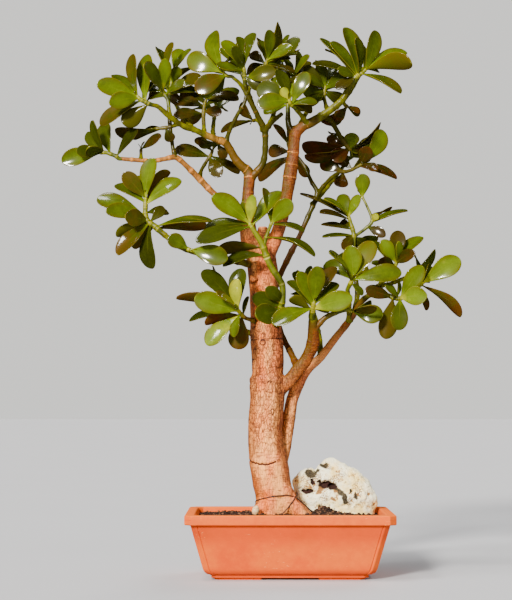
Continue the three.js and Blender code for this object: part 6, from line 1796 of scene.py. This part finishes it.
@dataclass
class Leaf:
    """One fleshy leaf, with its own axes: along it, across it, and off its upper face."""

    root: Array
    along: Array
    across: Array
    up: Array
    length: float
    width: float
    red: float = 0.0
    # How light the skin is painted: the leaf's age together with painted shade and light.
    tone: float = 0.5

    @classmethod
    def laid(cls, root: Array, tip: Array, seen: float, stem_way: Array) -> "Leaf":
        """Turn a leaf about its length until its breadth is the one that is seen from the front.

        Args:
            root: Where it grows from the stem.
            tip: Its tip.
            seen: The breadth seen, negative where the underside shows.
            stem_way: The way the stem runs there.

        Returns:
            The leaf.
        """
        along = tip - root
        length = float(np.linalg.norm(along))
        along = along / length
        width = max(abs(seen), min(LEAF_MOST_WIDTH, LEAF_SLENDER * length))
        flat = unit(np.cross(along, (0.0, 1.0, 0.0)))
        facing = np.cross(along, flat) * math.copysign(1, seen)
        inward = root + stem_way * 40 - (root + tip) / 2
        rise = flat * (-1 if flat.dot(inward) < 0 else 1)
        roll = math.acos(min(1.0, abs(seen) / width))
        up = unit(facing * math.cos(roll) + rise * math.sin(roll))
        across = unit(np.cross(up, along))
        return cls(root, along, across, np.cross(along, across), length, width)

    def midrib(self, share: float) -> Array:
        """Give the point of the midrib at a share of the length."""
        rise = LEAF_ARCH * self.length * math.sin(math.pi * share)
        return self.root + self.along * share * self.length + self.up * rise

    def samples(self) -> tuple[Array, Array]:
        """Give points over the outer part of the blade, and the share of the length of each."""
        points, shares = [], []
        for i in range(7):
            share = 0.25 + i * 0.125
            half = self.width / 2 * math.sin(math.pi * min(0.97, 0.12 + 0.8 * share**1.2))
            for j in range(-2, 3):
                points.append(self.midrib(share) + self.across * half * j / 2)
                shares.append(share)
        return np.array(points), np.array(shares)

    def grow(self, skin: Skin, seed: int) -> None:
        """Add the leaf's fine surface to a shoot.

        Args:
            skin: The shoot's surface.
            seed: Number that sets how this leaf differs from the others.
        """
        draw = np.random.default_rng(seed)
        arch = LEAF_ARCH * draw.uniform(0.5, 1.5)
        cup = LEAF_CUP * draw.uniform(0.6, 1.7)
        twist = draw.uniform(-0.22, 0.22)
        fullness = draw.uniform(0.58, 0.66)
        widest = draw.uniform(1.65, 1.95)
        wave, phase = draw.uniform(0.0, 0.35), draw.uniform(0, 6.28)
        sway = draw.uniform(-0.03, 0.03) * self.length
        count, sides = 18, 16
        u, v = np.cos(turns_of(sides)), np.sin(turns_of(sides))
        v = np.sign(v) * np.abs(v) ** 0.85
        rings = np.empty((count + 1, sides, 3))
        along = np.empty((count + 1, 1))
        for i in range(count + 1):
            share = math.sin(math.pi / 2 * (i - 1) / (count - 1)) if i else -LEAF_HEEL / self.length
            t = max(share, 0.0)
            broad = math.sin(math.pi * min(t, 0.9998) ** widest) ** (fullness - 0.15 * t) if t > 0 else 0.0
            half = max(self.width / 2 * broad, 1.5 * (1 - t) * (t < 0.4), 0.12)
            deep = min(LEAF_THICKNESS, 0.2 * self.width + 1) * 1.12
            deep *= min(1.0, 0.62 + 1.1 * t) * (1 - 0.45 * t) * (min(1.0, half / 3.2) ** 0.6)
            deep = max(deep, 0.25)
            bank = twist * (t - 0.3)
            across = self.across * math.cos(bank) + self.up * math.sin(bank)
            up = self.up * math.cos(bank) - self.across * math.sin(bank)
            middle = self.root + self.along * share * self.length
            middle = middle + self.up * arch * self.length * math.sin(math.pi * t) * (t > 0)
            middle = middle + self.across * sway * math.sin(math.pi * t)
            ripple = wave * math.sin(phase + 9 * t) * t
            lift = cup * half * u**2 + ripple * u
            height = lift + np.where(v > 0, 0.34, 0.66) * deep * v
            rings[i] = middle + np.outer(half * u, across) + np.outer(height, up)
            along[i] = t
        tone = self.tone + 0.03 * draw.standard_normal()
        rim = np.maximum(np.abs(u)[None, :] ** 7, smooth_step(along, 0.955, 1.0))
        upper = np.where(v > 0.01, Side.UPPER.value, np.where(v < -0.01, Side.UNDER.value, 0.5))
        blush = max(0.0, draw.uniform(-0.3, 0.9))
        values = {"tone": tone, "along": along, "across": np.abs(u), "upper": upper, "margin": rim, "red": self.red}
        skin.add_rings(rings, blush=blush, **values)


class Room:
    """The places already taken by wood, stems and leaves."""

    def __init__(self) -> None:
        """Start with nothing taken."""
        self.points: list[Array] = []
        self.reaches: list[Array] = []
        self.owners: list[Array] = []
        self.shares: list[Array] = []
        self.names: dict[str, int] = {}

    def take(self, points: Array, reaches: Array, owner: str, shares: Array) -> None:
        """Take the room round some points.

        Args:
            points: The points.
            reaches: How far round each.
            owner: The piece that takes it.
            shares: How far along a leaf each point is, or 0.
        """
        number = self.names.setdefault(owner, len(self.names))
        self.points.append(points)
        self.reaches.append(reaches)
        self.owners.append(np.full(len(points), number))
        self.shares.append(shares)

    def take_route(self, route: Route, owner: str) -> None:
        """Take the room round a stem."""
        for (start, from_radius), (end, to_radius) in zip(route, route[1:]):
            steps = max(2, math.ceil(float(np.linalg.norm(end - start)) / 4))
            share = np.arange(steps + 1) / steps
            points = start + (end - start) * share[:, None]
            self.take(points, from_radius + (to_radius - from_radius) * share, owner, np.zeros(steps + 1))

    def clashes(self, points: Array, shares: Array, owner: str) -> tuple[bool, bool]:
        """Tell whether a blade would touch another piece, or another leaf of its own shoot.

        Args:
            points: Points of the blade.
            shares: How far along it each is.
            owner: Its shoot.

        Returns:
            Touches another piece, touches its own.
        """
        where, reach = np.vstack(self.points), np.concatenate(self.reaches)
        same = np.concatenate(self.owners) == self.names[owner]
        outer = np.concatenate(self.shares) > 0.45
        away = ((points[:, None, :] - where[None, :, :]) ** 2).sum(axis=2)
        close = away <= (LEAF_REACH + reach[None, :]) ** 2
        own = close & same[None, :] & outer[None, :] & (shares > 0.45)[:, None]
        return bool((close & ~same[None, :]).any()), bool(own.any())

    def place(self, root: Array, tip_at: TipAt, seen: float, stem_way: Array, owner: str) -> Leaf | None:
        """Lay a leaf, bent towards the front or the back by as little as clears the others.

        Args:
            root: Where it grows from.
            tip_at: Gives its tip for a bend in mm.
            seen: Breadth seen from the front.
            stem_way: The way the stem runs there.
            owner: Its shoot.

        Returns:
            The leaf, or None where there is no room.
        """
        chosen = None
        for bend in BENDS:
            leaf = Leaf.laid(root, tip_at(bend), seen, stem_way)
            points, shares = leaf.samples()
            others, own = self.clashes(points, shares, owner)
            # A place that only crowds the shoot's own leaves is kept in case no bend is better.
            if not others and not (own and chosen):
                chosen = (leaf, points, shares)
                if not own:
                    break
        if chosen:
            leaf, points, shares = chosen
            self.take(points, np.full(len(points), LEAF_REACH), owner, shares)
            return leaf
        return None


@dataclass
class Shoot:
    """One leafy shoot: green stems, leaves in pairs and a young bud at each tip."""

    name: str
    routes: list[Route]
    seed: int
    leaves: list[Leaf] = field(default_factory=list)
    stem_sides: int = 12

    def stem_start(self) -> Route:
        """Give the first stem, begun a little inside the twig that carries it."""
        route = list(self.routes[0])
        way = unit(route[1][0] - route[0][0])
        return [(route[0][0] - way * 1.4, route[0][1]), *route[1:]]

    @staticmethod
    def nearness(line: Array, marks: list[Array]) -> Array:
        """Give the distance of each point of a line to the nearest mark, across the view's height and width."""
        near = np.full(len(line), 9.0)
        for mark in marks:
            near = np.minimum(near, np.linalg.norm((line[:, :3] - mark) * (1, 0.1, 1), axis=1))
        return near

    def add_stem(self, skin: Skin, route: Route) -> None:
        """Add one green stem with a papery ring at each leaf pair."""
        fine = through(rows_of(route), 1.2)
        near = self.nearness(fine, [leaf.root for leaf in self.leaves])
        scars = self.nearness(fine, [seen_at(x, -40.0, z) for x, z in STEM_SCARS.get(self.name, ())])
        scar = bell(scars, 0.8)
        # Painted shade: a stem is darkened as much as its leaves are painted dark.
        dull = np.full(len(fine), 1 - smooth_step(np.mean([leaf.tone for leaf in self.leaves]), 0.12, 0.38))
        ring = bell(near, 1.1)
        swell = bell(near, 3.2)
        radii = fine[:, 3] * (1 + 0.16 * swell) + 0.15 * ring + 0.5 * scar
        radii[-3:] *= (0.96, 0.8, 0.45)
        rings = rings_round(fine[:, :3], radii, self.stem_sides)
        fresh = smooth_step(np.linspace(0, 1, len(fine)), 0.2, 0.95)
        skin.add_rings(rings, 1, ring=ring[:, None], fresh=fresh[:, None], scar=scar[:, None], dull=dull[:, None])

    def add_bud(self, skin: Skin, route: Route, seed: int) -> None:
        """Add the pair of young leaves that stands at a stem's tip."""
        draw = np.random.default_rng(seed)
        end, way = route[-1][0], unit(route[-1][0] - route[-2][0])
        side = unit(np.cross(way, (0.3, 1.0, 0.2)))
        turn = draw.uniform(0, math.pi)
        out = side * math.cos(turn) + np.cross(way, side) * math.sin(turn)
        for sign in (-1, 1):
            length = draw.uniform(7, 11)
            heading = unit(way + out * sign * draw.uniform(0.35, 0.6))
            across = unit(np.cross(heading, out)) * sign
            leaf = Leaf(end - way * 0.5, heading, across, np.cross(heading, across), length, length * 0.42)
            leaf.grow(skin, seed * 3 + sign)

    def build(self, finishes: list[Material]) -> None:
        """Build and dress the shoot.

        Args:
            finishes: Leaf skin and green stem.
        """
        skin = Skin()
        for i, leaf in enumerate(self.leaves):
            leaf.grow(skin, self.seed * 100 + i)
        for i, route in enumerate([self.stem_start(), *self.routes[1:]]):
            self.add_stem(skin, route)
            self.add_bud(skin, route, self.seed * 10 + i)
        set_out("leafy_shoot_" + self.name, skin, finishes, Slot.LEAF, "shoot_" + self.name)


class Foliage:
    """All the shoots, with their leaves set clear of one another in the order they grow."""

    def __init__(self) -> None:
        """Lay out every shoot and leaf."""
        self.room = Room()
        self.boughs = {name: route_of(stations) for name, stations in BOUGHS.items()}
        self.shoots: list[Shoot] = []
        for route in self.boughs.values():
            self.room.take_route(route, "wood")
        trunk = [(np.array(((left + right) / 2, 0.0, z)), 20.0) for z, left, right, _ in TRUNK_LEVELS[3:]]
        self.room.take_route(trunk, "wood")
        for i, (name, (stems, *_)) in enumerate(SHOOTS.items()):
            routes = [self.first_stem(name, stems[0]), *map(route_of, stems[1:])]
            self.shoots.append(Shoot(name, routes, FRONT_SEED + i))
        for i, (name, pairs, _, _) in enumerate(REAR_SHOOTS):
            self.shoots.append(Shoot(name, [self.rear_stem(name, pairs)], REAR_SEED + i))
        for shoot in self.shoots:
            for route in shoot.routes:
                self.room.take_route(route, shoot.name)
        for shoot, (_, tones, reds, rows, _) in zip(self.shoots, SHOOTS.values()):
            for row, tone, red in zip(rows, tones, reds or "0" * len(tones)):
                self.add_leaf(shoot, row, int(tone) / 10, int(red) / 10)
        for shoot, plan in zip(self.shoots[len(SHOOTS) :], REAR_SHOOTS):
            self.leaf_out_behind(shoot, *plan[1:])
        for shoot, (*_, inner) in zip(self.shoots, SHOOTS.values()):
            for *row, tone, red in inner:
                self.add_leaf(shoot, row, tone / 10, red / 10)

    def end_of(self, twig: str) -> tuple[Array, float, Array]:
        """Give the end of a twig, its radius there and the way it runs."""
        (before, _), (end, radius) = self.boughs[twig][-2:]
        return end, radius, unit(end - before)

    def first_stem(self, twig: str, stations: list[list[float]]) -> Route:
        """Run a shoot's first stem on from the end of its twig."""
        end, radius, way = self.end_of(twig)
        return [(end + way * GAP, radius), (end + way * (GAP + 2.5), radius), *route_of(stations)]

    def rear_stem(self, twig: str, pairs: int) -> Route:
        """Run the straight stem of a shoot at the back."""
        end, radius, way = self.end_of(twig)
        return [(end + way * (GAP + i * REAR_STEP), radius - 0.25 * i) for i in range(pairs + 1)]

    @staticmethod
    def root_on(routes: list[Route], x: float, z: float) -> tuple[Array, Array]:
        """Find the place on a shoot's stems nearest to a leaf's root in the elevation.

        Args:
            routes: The stems.
            x: Place of the root to the right.
            z: Its height.

        Returns:
            The place and the way the stem runs there.
        """
        best, found = math.inf, (np.zeros(3), np.zeros(3))
        for number, route in enumerate(routes):
            for i in range(1 if number == 0 else 0, len(route) - 1):
                start, end = route[i][0], route[i + 1][0]
                for j in range(4):
                    point = start + (end - start) * j / 4
                    miss = float(((seen_at(x, point[1], z) - point) ** 2).sum())
                    if miss < best - 1e-6:
                        best, found = miss, (point, unit(end - start))
        return found

    def add_leaf(self, shoot: Shoot, row: list[float], tone: float, red: float) -> None:
        """Set one leaf where there is room for it.

        Args:
            shoot: Its shoot.
            row: Its root, tip, seen breadth and the depth of its tip.
            tone: How young it is, and how much painted shade and light it takes.
            red: How red it is.
        """
        root_x, root_z, tip_x, tip_z, seen, deeper = row
        point, way = self.root_on(shoot.routes, root_x, root_z)

        def tip_at(bend: float) -> Array:
            """Give the tip for a bend."""
            return seen_at(tip_x, point[1] + deeper + bend, tip_z)

        leaf = self.room.place(point, tip_at, seen, way, shoot.name)
        if leaf:
            leaf.tone, leaf.red = tone, red
            shoot.leaves.append(leaf)

    def leaf_out_behind(self, shoot: Shoot, pairs: int, first_turn: float, seed: int) -> None:
        """Set leaves in crossed pairs up the stem of a shoot at the back.

        Args:
            shoot: The shoot.
            pairs: How many pairs it has.
            first_turn: Angle of the first pair about the stem.
            seed: Number for its draws.
        """
        end, _, way = self.end_of(shoot.name)
        draw = draws(seed)
        side = unit(np.cross((0.0, 0.0, 1.0), way))
        over = np.cross(way, side)
        for i in range(1, pairs + 1):
            for half in (0, 1):
                turn = first_turn + math.pi / 2 * i + math.pi * half
                out = side * math.cos(turn) + over * math.sin(turn)
                length = REAR_LENGTH * (1.05 - 0.17 * i + 0.2 * draw())
                lean = REAR_ANGLE - 0.12 * i + 0.25 * (draw() - 0.5)
                root = end + way * (GAP + i * REAR_STEP - 1.5)
                tip = root + (way * math.cos(lean) + out * math.sin(lean)) * length
                seen = length * (0.22 + 0.2 * draw())

                def tip_at(bend: float) -> Array:
                    """Give the tip for a bend."""
                    return tip + np.array((0.0, abs(bend), 0.0))

                leaf = self.room.place(root, tip_at, seen, way, shoot.name)
                if leaf:
                    leaf.tone = REAR_SHADED_TONE + 0.16 * draw()
                    shoot.leaves.append(leaf)


# ---- The studio ----


@dataclass
class Studio:
    """A plain pale floor, soft lights and the camera."""

    finish: Material
    floor_radius: float = 14.0
    horizon: tuple = (1.0, 0.99, 0.955, 1.0)
    zenith: tuple = (0.16, 0.165, 0.175, 1.0)
    lens: float = 105
    pitch: float = 3.1

    def place_camera(self) -> None:
        """Stand the camera level with the middle of the trunk, looking slightly up."""
        lens = bpy.data.cameras.new("camera")
        lens.lens, lens.sensor_width, lens.clip_end = self.lens, 36, 100
        camera = stand("camera", lens)
        camera.location = in_row(STATION)
        camera.rotation_euler = (math.radians(90 + self.pitch), 0, 0)
        bpy.context.scene.camera = camera

    @staticmethod
    def lamp(name: str, place: tuple, spread: float, power: float, colour: Colour, mirrored: bool = True) -> None:
        """Set one soft lamp, far off.

        Args:
            name: Its name.
            place: The side that it shines from.
            spread: How wide it looks from the plant, in degrees.
            power: Its strength.
            colour: Its colour.
            mirrored: Whether glossy surfaces mirror it.
        """
        data = bpy.data.lights.new(name, "SUN")
        data.angle, data.energy, data.color = math.radians(spread), power, colour
        lamp = stand(name, data)
        lamp.visible_glossy = mirrored
        lamp.location = Vector(place)
        lamp.rotation_euler = (-Vector(place)).to_track_quat("-Z", "Y").to_euler()

    def build(self) -> None:
        """Build the studio."""
        self.place_camera()
        mesh = bmesh.new()
        bmesh.ops.create_grid(mesh, x_segments=24, y_segments=24, size=self.floor_radius)
        flat = bpy.data.meshes.new("floor")
        mesh.to_mesh(flat)
        mesh.free()
        flat.materials.append(self.finish)
        floor = stand("floor", flat)
        floor.visible_glossy = False
        floor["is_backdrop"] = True
        self.lamp("key", (-0.8, -1.9, 0.85), 9, 8.0, (1.0, 0.97, 0.91))
        self.lamp("window", (-1.3, -1.1, 1.7), 8, 1.8, (1.0, 0.98, 0.94))
        self.lamp("skylight", (-0.6, -0.35, 1.8), 12, 1.2, (1.0, 0.99, 0.97))
        self.lamp("fill", (1.8, -1.4, 0.8), 50, 0.25, (0.97, 0.98, 1.0), False)
        self.lamp("back", (0.8, 1.7, 1.2), 30, 2.0, (1.0, 0.99, 0.96), False)
        self.light_room()

    def light_room(self) -> None:
        """Fill the room with pale light, brightest near the horizon."""
        world = bpy.data.worlds.new("pale_room")
        world.use_nodes = True
        bench = Bench(world.node_tree)
        way = bench.node("ShaderNodeTexCoord", take="Generated")
        height = bench.node("ShaderNodeSeparateXYZ", None, {0: way}, "Z")
        colour = bench.tint(height.rise(0.23, 0.5), self.horizon, self.zenith)
        light = bench.node("ShaderNodeBackground", None, {"Color": colour, "Strength": 1.0})
        output = bench.tree.nodes.new("ShaderNodeOutputWorld")
        bench.join(output.inputs["Surface"], light)
        world.cycles_visibility.glossy = False
        bpy.context.scene.world = world


def keep_size(packed: object) -> None:
    """Work out the boxes of the imported part and of the finished scene; they are not kept.

    Args:
        packed: The box from straight after the frame was loaded.
    """
    boxes = {"cad": plain(packed), "visual": plain(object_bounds())}


def plain(rows: object) -> list:
    """Turn nested corners into plain lists of numbers."""
    return [plain(row) if hasattr(row, "__len__") else float(row) for row in rows]


def main() -> None:
    """Build the whole scene."""
    logging.basicConfig(level=logging.INFO, format="%(message)s")
    packed = plain(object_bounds())
    Studio(PaleFloor().make()).build()
    pot = Pot(Terracotta().make())
    for piece in (
        pot, Soil(Loam().make(), pot), Stone(Limestone().make()), PalePebble(Pebble().make()), Wood(Bark().make()),
        TrainingWire(RustyWire().make()),
    ):
        piece.build()
    foliage = Foliage()
    finishes = [LeafSkin().make(), GreenStem().make()]
    for shoot in foliage.shoots:
        shoot.build(finishes)
    LOG.info("%d leaves", sum(len(shoot.leaves) for shoot in foliage.shoots))
    keep_size(packed)


if __name__ == "__main__":
    main()
